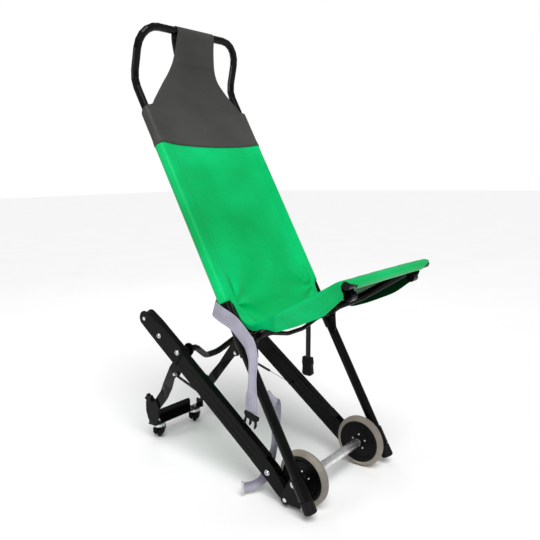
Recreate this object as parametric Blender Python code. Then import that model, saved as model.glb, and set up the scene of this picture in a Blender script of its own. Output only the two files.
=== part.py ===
"""Folding evacuation stair chair: tube frame, fabric sling, belt tracks and a castor leg.

Metres, +Z up. The sitter faces -Y, +X is the sitter's left. Z = 0 is the floor under the two
front wheels and the two rear castors. The origin is under the middle of the chair's box.
"""
import math

import bmesh
import bpy
from mathutils import Matrix, Vector

# ---- driving dimensions -------------------------------------------------------------------
GAP = 0.0003                      # between touching pieces
UPRIGHT_X = 0.2253                # half the spacing of the two uprights
UPRIGHT_R = 0.016
UPRIGHT_BORE = 0.0142
LEAN = math.radians(28.3)         # uprights lean back from vertical
CENTRE_Y = 0.0036                 # the finished chair is moved this far, to centre it on the origin
FOOT = Vector((0.0, -0.349, 0.025))   # lower end of the uprights' centre line
UPRIGHT_TOP = 1.262               # stations along the upright, from FOOT
HANDLE_R = 0.0127
HANDLE_BORE = 0.0107
HANDLE_LOW = 1.205
HANDLE_BEND = 1.425
HANDLE_TOP_Y = 0.2858
HANDLE_TOP_Z = 1.445
HANDLE_CORNER = 0.075

WHEEL_Y = -0.2791
WHEEL_R = 0.0857
HUB_R = 0.0694
WHEEL_IN = 0.1457                 # inner and outer faces of a front wheel
WHEEL_OUT = 0.1775
AXLE_TUBE_R = 0.014
AXLE_ROD_R = 0.005
HUB_FIT = 0.00005                 # radial clearance of a hub that turns on the rod
BRACKET_X = (0.2083, 0.2123)      # foot and seat bracket plates, inboard of the uprights

TRACK_ANGLE = math.radians(36.66)     # tracks rise to the rear
TRACK_ORIGIN = Vector((0.0, -0.2575, 0.0))
TRACK_X = (0.177, 0.205)          # sides of the track channel
TRACK_BASE = 0.002                # channel bottom and top, square to the track
TRACK_TOP = 0.058
CHEEK_T = 0.0025
TRACK_PIVOT = (0.0255, 0.0150)    # places on the track: along it, square to it
NOSE_AXLE = (0.7845, 0.0295)
LEG_PIVOT = (0.6030, 0.0462)
GUIDE_BOLT = (0.6983, 0.0308)
FOOT_BOLT = (0.1182, 0.0233)
SPRING_EYE = (0.3541, 0.0150)
PULLEY_R = 0.0136
NOSE_PULLEY_R = 0.0170
BELT_T = 0.005
BELT_LOW = -0.0040                # the belt's outer face below the channel
BELT_X = (0.184, 0.200)

SPREADER_R = 0.011
ARM_T = 0.006
ARM_X_TOP = 0.1500                # inner face of a leg arm at the pivot and at the carriage
ARM_X_LOW = 0.1262
BEND_Z = 0.276                    # the arms bend inwards between these two heights
STRAIGHT_Z = 0.206
CARRIAGE_Z = 0.0618               # top of the carriage's level flange
CARRIAGE_Y = (0.4224, 0.4613)
CASTOR_X = 0.0918
CASTOR_Y = 0.4418
CASTOR_R = 0.0195
CASTOR_TRAIL = 0.007
CASTOR_TURN = math.radians(-51.0)     # the castors stand turned about their stems
SPRING_BOLT = (0.262, 0.299)      # Y and Z

SEAT_TUBE_R = 0.0125
SEAT_PIVOT = (-0.1363, 0.4976)    # Y and Z
SEAT_BAR = (-0.4665, 0.6905)      # the seat's front bar
SEAT_BAR_HALF = 0.2340
SEAT_RAIL = ((0.1800, -0.4665, 0.6905), (0.1800, -0.2764, 0.5737), (0.1830, -0.1804, 0.5306),
             (0.1953, -0.1483, 0.5093), (0.1953, -0.1300, 0.4915))
SEAT_BUMPER = (-0.4480, 0.6530)
SEAT_CROSS_R = 0.007              # thin dipped bar between the rails' rear ends
SEAT_CROSS_Z = (0.4976, 0.4965, 0.4765)

SLEEVE_R = 0.0185                 # fabric sleeves round the uprights
SLEEVE_BORE = 0.0165
SLING_LOW = 0.578                 # stations along the upright
SLEEVE_LOW = 0.648
SLING_BORDER = 1.193
SLEEVE_TOP = 1.321
NECK_HALF = 0.085
WEB_T = 0.003
WEB_FRONT = -0.0125               # front face of the sling's web, square to the upright

STRAP_T = 0.0024
STRAP_W = 0.048

UP = Vector((0.0, math.sin(LEAN), math.cos(LEAN)))
BACK = Vector((0.0, math.cos(LEAN), -math.sin(LEAN)))
ALONG = Vector((0.0, math.cos(TRACK_ANGLE), math.sin(TRACK_ANGLE)))
SQUARE = Vector((0.0, -math.sin(TRACK_ANGLE), math.cos(TRACK_ANGLE)))
SIDES = (("left", 1.0), ("right", -1.0))


ARC_STEP = math.radians(18)       # bends are drawn in steps of about this angle


# ---- frames of reference ------------------------------------------------------------------
def on_upright(station, behind, x=0.0):
    """Point at a station along the uprights, a distance behind their centre line."""
    return FOOT + UP * station + BACK * behind + Vector((x, 0.0, 0.0))


def on_track(station, height, x=0.0):
    """Point at a station along the tracks, a height square to them."""
    return TRACK_ORIGIN + ALONG * station + SQUARE * height + Vector((x, 0.0, 0.0))


def in_side_view(y, z, x=0.0):
    """Point given by its place in the side view."""
    return Vector((x, y, z))


# ---- materials ----------------------------------------------------------------------------
def make_material(name, colour, roughness, metallic):
    """Principled material with one colour."""
    material = bpy.data.materials.new(name)
    material.use_nodes = True
    shader = material.node_tree.nodes["Principled BSDF"]
    shader.inputs["Base Color"].default_value = (*colour, 1.0)
    shader.inputs["Roughness"].default_value = roughness
    shader.inputs["Metallic"].default_value = metallic
    material.diffuse_color = (*colour, 1.0)
    return material


def make_materials():
    """All the chair's materials by name."""
    looks = {
        "black_paint": ((0.012, 0.012, 0.013), 0.25, 0.0),
        "black_track": ((0.018, 0.018, 0.019), 0.38, 0.3),
        "black_plastic": ((0.015, 0.015, 0.016), 0.45, 0.0),
        "rubber": ((0.025, 0.025, 0.026), 0.75, 0.0),
        "tyre_grey": ((0.26, 0.255, 0.245), 0.55, 0.0),
        "zinc": ((0.62, 0.62, 0.63), 0.30, 1.0),
        "aluminium": ((0.80, 0.80, 0.81), 0.30, 1.0),
        "spring_steel": ((0.05, 0.05, 0.055), 0.35, 1.0),
        "nylon": ((0.75, 0.75, 0.72), 0.50, 0.0),
        "green_sling": ((0.0, 0.42, 0.13), 0.35, 0.0),
        "grey_sling": ((0.09, 0.09, 0.085), 0.45, 0.0),
        "webbing": ((0.36, 0.34, 0.44), 0.80, 0.0),
    }
    return {name: make_material(name, *look) for name, look in looks.items()}


# ---- mesh tools ---------------------------------------------------------------------------
def add_object(name, bm, material, parent=None, smooth=True):
    """Turn a bmesh into a named object with its faces pointing out."""
    bmesh.ops.recalc_face_normals(bm, faces=bm.faces)
    mesh = bpy.data.meshes.new(name)
    bm.to_mesh(mesh)
    bm.free()
    if smooth:
        mesh.shade_smooth()
        mesh.set_sharp_from_angle(angle=math.radians(35))
    mesh.materials.append(material)
    obj = bpy.data.objects.new(name, mesh)
    bpy.context.scene.collection.objects.link(obj)
    if parent:
        obj.parent = parent
        obj.matrix_parent_inverse = parent.matrix_world.inverted()
    return obj


def add_joint_point(name, location, parent=None):
    """Empty on a joint's axis, which carries that joint's pieces."""
    empty = bpy.data.objects.new(name, None)
    bpy.context.scene.collection.objects.link(empty)
    empty.empty_display_size = 0.03
    empty.location = location
    if parent:
        empty.parent = parent
        empty.matrix_parent_inverse = parent.matrix_world.inverted()
    bpy.context.view_layer.update()
    return empty


def hide_tool(obj):
    """Mark a cutter or an added shape as a tool that isn't part of the chair."""
    obj.hide_render = True
    obj.display_type = "WIRE"


def join_shape(target, tool, operation):
    """Unite a shape with an object, or cut it away."""
    hide_tool(tool)
    modifier = target.modifiers.new(operation.lower(), "BOOLEAN")
    modifier.operation = operation
    modifier.object = tool


def side_frame(axis):
    """Two directions square to an axis and to each other."""
    helper = Vector((0, 0, 1)) if abs(axis.z) < 0.9 else Vector((1, 0, 0))
    first = axis.cross(helper).normalized()
    return first, axis.cross(first).normalized()


def ring_faces(bm, rows, close_rows=False):
    """Quads between successive closed rows of points."""
    count = len(rows[0])
    pairs = list(zip(rows, rows[1:]))
    if close_rows:
        pairs.append((rows[-1], rows[0]))
    for low, high in pairs:
        for i in range(count):
            j = (i + 1) % count
            bm.faces.new((low[i], low[j], high[j], high[i]))


def add_turned(bm, centre, axis, profile, sides=24, closed=True):
    """Add a turned solid: profile is (radius, distance along the axis). Radius 0 ends close it."""
    axis = axis.normalized()
    first, second = side_frame(axis)
    rows = []
    for radius, along in profile:
        middle = centre + axis * along
        if radius == 0.0:
            rows.append([bm.verts.new(middle)])
            continue
        row = []
        for i in range(sides):
            turn = 2 * math.pi * i / sides
            row.append(bm.verts.new(middle + (first * math.cos(turn) + second * math.sin(turn)) * radius))
        rows.append(row)
    pairs = list(zip(rows, rows[1:]))
    if closed:
        pairs.append((rows[-1], rows[0]))
    for low, high in pairs:
        for i in range(sides):
            j = (i + 1) % sides
            if len(low) == 1:
                bm.faces.new((low[0], high[j], high[i]))
            elif len(high) == 1:
                bm.faces.new((low[i], low[j], high[0]))
            else:
                bm.faces.new((low[i], low[j], high[j], high[i]))


def add_rod(bm, start, end, radius, sides=16):
    """Add a plain round bar."""
    axis = end - start
    profile = ((0.0, 0.0), (radius, 0.0), (radius, axis.length), (0.0, axis.length))
    add_turned(bm, start, axis, profile, sides, closed=False)


def round_corners(points, radius):
    """Path through the points with each inner corner turned to an arc of the radius."""
    path = [points[0]]
    for before, corner, after in zip(points, points[1:], points[2:]):
        back = (before - corner).normalized()
        ahead = (after - corner).normalized()
        half = back.angle(ahead) / 2
        if half > math.radians(89):
            path.append(corner)
            continue
        reach = min(radius / math.tan(half), 0.45 * (before - corner).length, 0.45 * (after - corner).length)
        bend = reach * math.tan(half)
        centre = corner + (back + ahead).normalized() * (bend / math.sin(half))
        start = corner + back * reach - centre
        end = corner + ahead * reach - centre
        turn = start.angle(end)
        steps = max(1, round(turn / ARC_STEP))
        for i in range(steps + 1):
            share = i / steps
            mix = (start * math.sin((1 - share) * turn) + end * math.sin(share * turn)) / math.sin(turn)
            path.append(centre + mix)
    path.append(points[-1])
    return path


def path_frames(path):
    """A pair of side directions at each path point, carried along without twist."""
    frames = []
    side = None
    for i, point in enumerate(path):
        ahead = (path[min(i + 1, len(path) - 1)] - path[max(i - 1, 0)]).normalized()
        if side is None:
            side = side_frame(ahead)[0]
        side = (side - ahead * side.dot(ahead)).normalized()
        frames.append((side.copy(), ahead.cross(side)))
    return frames


def add_tube(bm, path, radius, bore=0.0, sides=16):
    """Add a round tube along a path, open at both ends when it has a bore."""
    frames = path_frames(path)

    def rows(size):
        out = []
        for point, (first, second) in zip(path, frames):
            row = []
            for i in range(sides):
                turn = 2 * math.pi * i / sides
                row.append(bm.verts.new(point + (first * math.cos(turn) + second * math.sin(turn)) * size))
            out.append(row)
        return out

    outer = rows(radius)
    if bore:
        ring_faces(bm, outer + rows(bore)[::-1], close_rows=True)
        return
    ring_faces(bm, outer)
    bm.faces.new(outer[0])
    bm.faces.new(outer[-1])


def circle_points(centre, radius, sides=16):
    """Round outline in a plane."""
    turns = [2 * math.pi * i / sides for i in range(sides)]
    return [(centre[0] + radius * math.cos(t), centre[1] + radius * math.sin(t)) for t in turns]


def arc_points(centre, radius, start, end, steps=6):
    """Points along an arc, angles in degrees."""
    points = []
    for i in range(steps + 1):
        turn = math.radians(start + (end - start) * i / steps)
        points.append((centre[0] + radius * math.cos(turn), centre[1] + radius * math.sin(turn)))
    return points


def add_plate(bm, place, outline, faces_at, holes=()):
    """Add a flat plate: place(a, b, x) maps its outline, faces_at are its two x values."""
    edges = []
    for loop in (outline, *holes):
        verts = [bm.verts.new(place(a, b, faces_at[0])) for a, b in loop]
        edges += [bm.edges.new((verts[i], verts[(i + 1) % len(verts)])) for i in range(len(verts))]
    filled = bmesh.ops.triangle_fill(bm, edges=edges, use_beauty=True, use_dissolve=False)
    flat = [item for item in filled["geom"] if isinstance(item, bmesh.types.BMFace)]
    grown = bmesh.ops.extrude_face_region(bm, geom=flat)
    moved = [item for item in grown["geom"] if isinstance(item, bmesh.types.BMVert)]
    bmesh.ops.translate(bm, verts=moved, vec=(faces_at[1] - faces_at[0], 0, 0))


def add_ribbon(bm, path, across, half_width, thickness):
    """Add a flat strip along a path; across gives its width direction at each point."""
    rows = []
    for i, point in enumerate(path):
        ahead = (path[min(i + 1, len(path) - 1)] - path[max(i - 1, 0)]).normalized()
        wide = across[i] if isinstance(across, list) else across
        wide = (wide - ahead * wide.dot(ahead)).normalized()
        thick = ahead.cross(wide) * (thickness / 2)
        size = half_width[i] if isinstance(half_width, list) else half_width
        corners = ((1, 1), (-1, 1), (-1, -1), (1, -1))
        rows.append([bm.verts.new(point + wide * (size * a) + thick * b) for a, b in corners])
    ring_faces(bm, rows)
    bm.faces.new(rows[0])
    bm.faces.new(rows[-1])


def smooth_path(points, count):
    """Catmull-Rom curve through the points, with count pieces between neighbours."""
    padded = [points[0] * 2 - points[1], *points, points[-1] * 2 - points[-2]]
    path = []
    for p0, p1, p2, p3 in zip(padded, padded[1:], padded[2:], padded[3:]):
        for i in range(count):
            t = i / count
            path.append(0.5 * (2 * p1 + (p2 - p0) * t + (2 * p0 - 5 * p1 + 4 * p2 - p3) * t * t
                               + (3 * p1 - p0 - 3 * p2 + p3) * t * t * t))
    path.append(points[-1])
    return path


def add_bolt(bm, head_at, outward, head_r, head_t, shank_r, shank_length, sides=12):
    """Add a bolt: its head stands outward from head_at and its shank goes inward."""
    profile = ((0.0, -shank_length), (shank_r, -shank_length), (shank_r, GAP), (head_r, GAP),
               (head_r, head_t * 0.75), (head_r * 0.75, head_t), (0.0, head_t))
    add_turned(bm, head_at, outward, profile, sides, closed=False)


# ---- main frame ---------------------------------------------------------------------------
def build_uprights(looks):
    """Two straight tubes with rubber feet."""
    for side, sign in SIDES:
        x = sign * UPRIGHT_X
        bm = bmesh.new()
        add_tube(bm, [on_upright(0.0065, 0, x), on_upright(UPRIGHT_TOP, 0, x)], UPRIGHT_R, UPRIGHT_BORE, 20)
        add_object(f"upright_{side}", bm, looks["black_paint"])
        bm = bmesh.new()
        wall = UPRIGHT_R + GAP
        profile = ((0.0, 0.0), (0.017, 0.0), (0.020, 0.004), (0.0195, 0.038), (wall, 0.038),
                   (wall, 0.0062), (0.0, 0.0062))
        add_turned(bm, on_upright(0, 0, x), UP, profile, 20, closed=False)
        add_object(f"foot_cap_{side}", bm, looks["rubber"])


def build_handle(looks):
    """One bent tube whose legs plug into the uprights."""
    bend = on_upright(HANDLE_BEND, 0)
    corners = []
    for x in (-UPRIGHT_X, UPRIGHT_X):
        leg = [on_upright(HANDLE_LOW, 0, x), bend + Vector((x, 0, 0)), Vector((x, HANDLE_TOP_Y, HANDLE_TOP_Z))]
        corners += leg if x < 0 else leg[::-1]
    bm = bmesh.new()
    add_tube(bm, round_corners(corners, HANDLE_CORNER), HANDLE_R, HANDLE_BORE, 14)
    add_object("handle_bar", bm, looks["black_paint"])


def build_foot_brackets(looks):
    """Welded sleeve and plate at each foot: it holds the wheel axle and the track's pivot."""
    pivot = on_track(*TRACK_PIVOT) - FOOT
    axle = Vector((0, WHEEL_Y, WHEEL_R)) - FOOT
    pivot_at = (pivot.dot(UP), pivot.dot(BACK))
    axle_at = (axle.dot(UP), axle.dot(BACK))
    for side, sign in SIDES:
        outline = [(0.046, 0.0), (0.046, 0.026), (0.030, 0.034), (0.0150, 0.048)]
        outline += arc_points(pivot_at, 0.0165, 200, 40, 8)
        outline += arc_points(axle_at, 0.0190, 35, -10, 5)
        outline += [(0.100, 0.0)]
        bm = bmesh.new()
        plate_x = (sign * BRACKET_X[0], sign * BRACKET_X[1])
        holes = (circle_points(pivot_at, 0.0043, 12), circle_points(axle_at, AXLE_ROD_R + GAP, 12))
        add_plate(bm, on_upright, outline, plate_x, holes)
        bracket = add_object(f"foot_bracket_{side}", bm, looks["black_paint"], smooth=False)
        bm = bmesh.new()
        x = sign * UPRIGHT_X
        add_rod(bm, on_upright(0.042, 0, x), on_upright(0.102, 0, x), 0.0197, 20)
        join_shape(bracket, add_object(f"sleeve_tool_{side}", bm, looks["black_paint"]), "UNION")
        bm = bmesh.new()
        add_rod(bm, on_upright(0.0, 0, x), on_upright(0.15, 0, x), UPRIGHT_R + GAP, 20)
        join_shape(bracket, add_object(f"bore_tool_{side}", bm, looks["black_paint"]), "DIFFERENCE")


def build_axle(looks):
    """Aluminium tube between the wheels, and the steel rod through everything with its end nuts."""
    reach = WHEEL_IN - 0.0035
    centre = Vector((0, WHEEL_Y, WHEEL_R))
    bm = bmesh.new()
    add_tube(bm, [centre - Vector((reach, 0, 0)), centre + Vector((reach, 0, 0))], AXLE_TUBE_R, 0.0115, 24)
    add_object("axle_tube", bm, looks["aluminium"])
    bm = bmesh.new()
    face = BRACKET_X[1] + GAP
    half = ((AXLE_ROD_R, face), (0.0115, face), (0.0115, face + 0.002), (0.0085, face + 0.0022),
            (0.0085, face + 0.0065), (0.004, face + 0.0090), (0.0, face + 0.0092))
    profile = [(radius, -along) for radius, along in reversed(half)] + list(half)
    add_turned(bm, centre, Vector((1, 0, 0)), profile, 16, closed=False)
    add_object("axle_rod", bm, looks["zinc"])


def build_wheel(looks, side, sign):
    """Front wheel: dished hub and rubber tyre, on its own spin axis."""
    centre = Vector((0, WHEEL_Y, WHEEL_R))
    spin = add_joint_point(f"wheel_axis_{side}", centre + Vector((sign * WHEEL_IN, 0, 0)))
    axis = Vector((sign, 0, 0))
    start = Vector((sign * WHEEL_IN, WHEEL_Y, WHEEL_R))
    wide = WHEEL_OUT - WHEEL_IN
    bm = bmesh.new()
    bore = AXLE_ROD_R + HUB_FIT
    hub = ((bore, -0.002), (0.009, -0.002), (0.009, 0.0), (0.017, 0.0), (0.019, 0.006), (0.052, 0.009), (0.060, 0.003), (HUB_R, 0.0025),
           (HUB_R, wide - 0.0025), (0.060, wide - 0.003), (0.052, wide - 0.009), (0.019, wide - 0.006),
           (0.017, wide), (0.009, wide), (0.009, wide + 0.002), (bore, wide + 0.002))
    add_turned(bm, start, axis, hub, 24)
    add_object(f"wheel_hub_{side}", bm, looks["black_plastic"], spin)
    bm = bmesh.new()
    add_turned(bm, start, axis, tyre_profile(wide), 32)
    add_object(f"wheel_tyre_{side}", bm, looks["tyre_grey"], spin)


def tyre_profile(wide):
    """Tyre section: a seat on the hub, a shoulder on each side and a crowned tread."""
    seat = HUB_R + GAP
    half = wide / 2
    crown = [(WHEEL_R - 0.0125 * abs(math.cos(t)) ** 2.2, half - half * math.cos(t))
             for t in [math.radians(15 + 150 * i / 5) for i in range(6)]]
    return [(seat, 0.003), (WHEEL_R - 0.0125, 0.0), *crown, (WHEEL_R - 0.0125, wide), (seat, wide - 0.003)]


# ---- seat ---------------------------------------------------------------------------------
def build_seat_brackets(looks):
    """Collar and lug on each upright for the seat's pivot."""
    pivot = in_side_view(*SEAT_PIVOT) - FOOT
    pivot_at = (pivot.dot(UP), pivot.dot(BACK))
    for side, sign in SIDES:
        outline = [(0.452, 0.0), (0.452, -0.012), (0.462, -0.026)]
        outline += arc_points(pivot_at, 0.0150, 215, 330, 7)
        outline += [(0.543, -0.020), (0.543, 0.0)]
        bm = bmesh.new()
        hole = circle_points(pivot_at, 0.0043, 12)
        add_plate(bm, on_upright, outline, (sign * BRACKET_X[0], sign * BRACKET_X[1]), (hole,))
        bracket = add_object(f"seat_bracket_{side}", bm, looks["black_paint"], smooth=False)
        x = sign * UPRIGHT_X
        bm = bmesh.new()
        add_rod(bm, on_upright(0.478, 0, x), on_upright(0.540, 0, x), 0.0195, 20)
        join_shape(bracket, add_object(f"collar_tool_{side}", bm, looks["black_paint"]), "UNION")
        bm = bmesh.new()
        add_rod(bm, on_upright(0.40, 0, x), on_upright(0.60, 0, x), UPRIGHT_R + GAP, 20)
        join_shape(bracket, add_object(f"collar_bore_tool_{side}", bm, looks["black_paint"]), "DIFFERENCE")


def build_seat_frame(looks):
    """Front bar, a rail and a round bumper each side, and a rear cross bar, on the seat hinge."""
    hinge = add_joint_point("seat_hinge", in_side_view(*SEAT_PIVOT))
    bm = bmesh.new()
    add_rod(bm, in_side_view(*SEAT_BAR, -SEAT_BAR_HALF), in_side_view(*SEAT_BAR, SEAT_BAR_HALF), SEAT_TUBE_R, 16)
    frame = add_object("seat_frame", bm, looks["black_paint"], hinge)
    shape = ((-0.1900, SEAT_CROSS_Z[0]), (-0.1250, SEAT_CROSS_Z[1]), (-0.0400, SEAT_CROSS_Z[2]))
    shape += tuple((-x, z) for x, z in reversed(shape))
    bm = bmesh.new()
    add_tube(bm, round_corners([in_side_view(SEAT_PIVOT[0], z, x) for x, z in shape], 0.060), SEAT_CROSS_R, 0.0, 10)
    join_shape(frame, add_object("cross_bar_tool", bm, looks["black_paint"]), "UNION")
    for side, sign in SIDES:
        path = round_corners([in_side_view(y, z, sign * x) for x, y, z in SEAT_RAIL], 0.040)
        bm = bmesh.new()
        add_tube(bm, path, SEAT_TUBE_R - 0.0003, 0.0, 14)
        join_shape(frame, add_object(f"rail_tool_{side}", bm, looks["black_paint"]), "UNION")
        bm = bmesh.new()
        add_rod(bm, in_side_view(*SEAT_BUMPER, sign * 0.1665), in_side_view(*SEAT_BUMPER, sign * 0.1935), 0.0138, 14)
        join_shape(frame, add_object(f"bumper_tool_{side}", bm, looks["black_paint"]), "UNION")
        bm = bmesh.new()
        add_rod(bm, in_side_view(*SEAT_PIVOT, sign * 0.1700), in_side_view(*SEAT_PIVOT, sign * 0.2200), 0.0043, 12)
        join_shape(frame, add_object(f"seat_hole_tool_{side}", bm, looks["black_paint"]), "DIFFERENCE")
        bm = bmesh.new()
        head_at = in_side_view(*SEAT_PIVOT, sign * BRACKET_X[1])
        add_bolt(bm, head_at, Vector((sign, 0, 0)), 0.0075, 0.005, 0.004, 0.0340)
        add_object(f"seat_pivot_bolt_{side}", bm, looks["zinc"])
    return hinge


def build_seat_panel(looks, hinge):
    """Fabric seat from its rear edge to the front bar, turned down over the bar."""
    bar = in_side_view(*SEAT_BAR)
    rear = in_side_view(-0.1230, 0.5285)
    ahead = (bar - rear).normalized()
    top = Vector((0, ahead.z, -ahead.y))
    wrap = SEAT_TUBE_R + 0.0007 + WEB_T / 2
    run = (bar - rear).dot(ahead)
    path = []
    half = []
    for share, width in ((0.0, 0.195), (0.22, 0.197), (0.40, 0.231), (0.97, 0.232)):
        path.append(rear.lerp(rear + ahead * run, share) + top * (0.003 + (wrap - 0.003) * share))
        half.append(width)
    for i in range(6):
        turn = math.radians(27 * i)
        path.append(bar + (top * math.cos(turn) + ahead * math.sin(turn)) * wrap)
        half.append(0.190)
    bm = bmesh.new()
    add_ribbon(bm, path, Vector((1, 0, 0)), half, WEB_T)
    add_object("sling_seat", bm, looks["green_sling"], hinge, smooth=False)


# ---- back sling ---------------------------------------------------------------------------
def sleeve_section(sides=20):
    """Cross-section of the sling where it holds both uprights: outline and two holes."""
    web_back = WEB_FRONT + WEB_T
    start = math.degrees(math.asin(-web_back / SLEEVE_R))
    stop = math.degrees(math.asin(-WEB_FRONT / SLEEVE_R))
    outline = []
    right = arc_points((-UPRIGHT_X, 0.0), SLEEVE_R, -start, 360 - stop, sides)
    left = [(UPRIGHT_X + SLEEVE_R * math.cos(math.radians(a)), SLEEVE_R * math.sin(math.radians(a)))
            for a in [180 + stop + (360 - stop + start) * i / sides for i in range(sides + 1)]]
    outline = right + left
    holes = [circle_points((x, 0.0), SLEEVE_BORE, 20) for x in (-UPRIGHT_X, UPRIGHT_X)]
    return outline, holes


def add_extrusion(bm, outline, holes, low, high):
    """Extrude an (x, behind) section along the uprights."""
    edges = []
    for loop in (outline, *holes):
        verts = [bm.verts.new(on_upright(low, b, x)) for x, b in loop]
        edges += [bm.edges.new((verts[i], verts[(i + 1) % len(verts)])) for i in range(len(verts))]
    filled = bmesh.ops.triangle_fill(bm, edges=edges, use_beauty=True, use_dissolve=False)
    flat = [item for item in filled["geom"] if isinstance(item, bmesh.types.BMFace)]
    grown = bmesh.ops.extrude_face_region(bm, geom=flat)
    moved = [item for item in grown["geom"] if isinstance(item, bmesh.types.BMVert)]
    bmesh.ops.translate(bm, verts=moved, vec=UP * (high - low))


def build_sling(looks):
    """Back panel with its sleeves, the lower web, the grey head panel and the neck strap."""
    outline, holes = sleeve_section()
    bm = bmesh.new()
    add_extrusion(bm, outline, holes, SLEEVE_LOW, SLING_BORDER)
    back = add_object("sling_back", bm, looks["green_sling"])
    bm = bmesh.new()
    add_extrusion(bm, outline, holes, SLING_BORDER + GAP, SLEEVE_TOP)
    add_object("sling_head", bm, looks["grey_sling"])
    bm = bmesh.new()
    inset = 0.0002
    web = [(-0.188, WEB_FRONT + inset), (0.188, WEB_FRONT + inset), (0.188, WEB_FRONT + WEB_T - inset),
           (-0.188, WEB_FRONT + WEB_T - inset)]
    add_extrusion(bm, web, (), SLING_LOW, SLEEVE_LOW + 0.004)
    join_shape(back, add_object("lower_back_tool", bm, looks["green_sling"]), "UNION")
    build_neck(looks)


def build_neck(looks):
    """Neck strap: up the front, over the handle's cross bar and down behind it."""
    bar = Vector((0, HANDLE_TOP_Y, HANDLE_TOP_Z))
    bend = on_upright(HANDLE_BEND, WEB_FRONT)
    low = on_upright(SLEEVE_TOP + GAP, WEB_FRONT + WEB_T / 2)
    up = (bar - on_upright(HANDLE_BEND, 0)).normalized()
    front = Vector((0, -up.z, up.y))
    wrap = HANDLE_R + WEB_T / 2 + 0.0008
    path = [low, low.lerp(bend, 0.55), bend + up * 0.012, bar - up * 0.10 + front * wrap]
    half = [0.196, 0.128, 0.096, NECK_HALF]
    for i in range(7):
        turn = math.radians(30 * i)
        path.append(bar + (front * math.cos(turn) + up * math.sin(turn)) * wrap)
        half.append(NECK_HALF)
    path.append(bar - up * 0.030 - front * (wrap - 0.004))
    path.append(bar - up * 0.085 + front * (wrap - WEB_T - 0.0015))
    half += [NECK_HALF, NECK_HALF]
    bm = bmesh.new()
    add_ribbon(bm, path, Vector((1, 0, 0)), half, WEB_T)
    add_object("sling_neck", bm, looks["grey_sling"])


# ---- tracks -------------------------------------------------------------------------------
def build_track(looks, side, sign, hinge):
    """Channel with long ribs, head and foot cheeks, two pulleys and the belt."""
    x0, x1 = (sign * TRACK_X[0], sign * TRACK_X[1])
    bm = bmesh.new()
    add_channel(bm, sign)
    channel = add_object(f"track_channel_{side}", bm, looks["black_track"], hinge, smooth=False)
    bm = bmesh.new()
    profile = ((0.0, -0.0012), (0.0065, -0.0012), (0.0065, 0.0025), (0.0030, 0.0028), (0.0030, 0.0095),
               (0.0050, 0.0097), (0.0050, 0.0125), (0.0, 0.0125))
    add_turned(bm, on_track(*SPRING_EYE, x0), Vector((-sign, 0, 0)), profile, 12, closed=False)
    join_shape(channel, add_object(f"spring_eye_tool_{side}", bm, looks["black_track"]), "UNION")
    build_track_head(looks, side, sign, hinge, x0, x1)
    build_track_foot(looks, side, sign, hinge, x0, x1)
    build_pulleys(looks, side, sign, hinge)
    bm = bmesh.new()
    add_belt(bm, sign)
    add_object(f"track_belt_{side}", bm, looks["rubber"], hinge)


def add_channel(bm, sign):
    """Hollow channel: its section has two shallow grooves on each side face."""
    x0, x1 = TRACK_X
    low, top = TRACK_BASE, TRACK_TOP
    groove = 0.0008
    outer = [(x0, low)]
    for height in (0.020, 0.040):
        outer += [(x0, height), (x0 + groove, height + 0.0015), (x0 + groove, height + 0.0045), (x0, height + 0.006)]
    outer += [(x0, top - 0.002), (x0 + 0.002, top), (x1 - 0.002, top), (x1, top - 0.002)]
    for height in (0.040, 0.020):
        outer += [(x1, height + 0.006), (x1 - groove, height + 0.0045), (x1 - groove, height + 0.0015), (x1, height)]
    outer += [(x1, low)]
    wall = 0.002
    inner = [(x0 + wall, low + wall), (x0 + wall, top - wall), (x1 - wall, top - wall), (x1 - wall, low + wall)]
    edges = []
    for loop in (outer, inner):
        verts = [bm.verts.new(on_track(0.122 + (h - low) * 0.52, h, sign * x)) for x, h in loop]
        edges += [bm.edges.new((verts[i], verts[(i + 1) % len(verts)])) for i in range(len(verts))]
    filled = bmesh.ops.triangle_fill(bm, edges=edges, use_beauty=True, use_dissolve=False)
    flat = [item for item in filled["geom"] if isinstance(item, bmesh.types.BMFace)]
    grown = bmesh.ops.extrude_face_region(bm, geom=flat)
    for vert in [item for item in grown["geom"] if isinstance(item, bmesh.types.BMVert)]:
        station = (vert.co - TRACK_ORIGIN).dot(ALONG)
        vert.co += ALONG * (0.722 - station)


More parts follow.
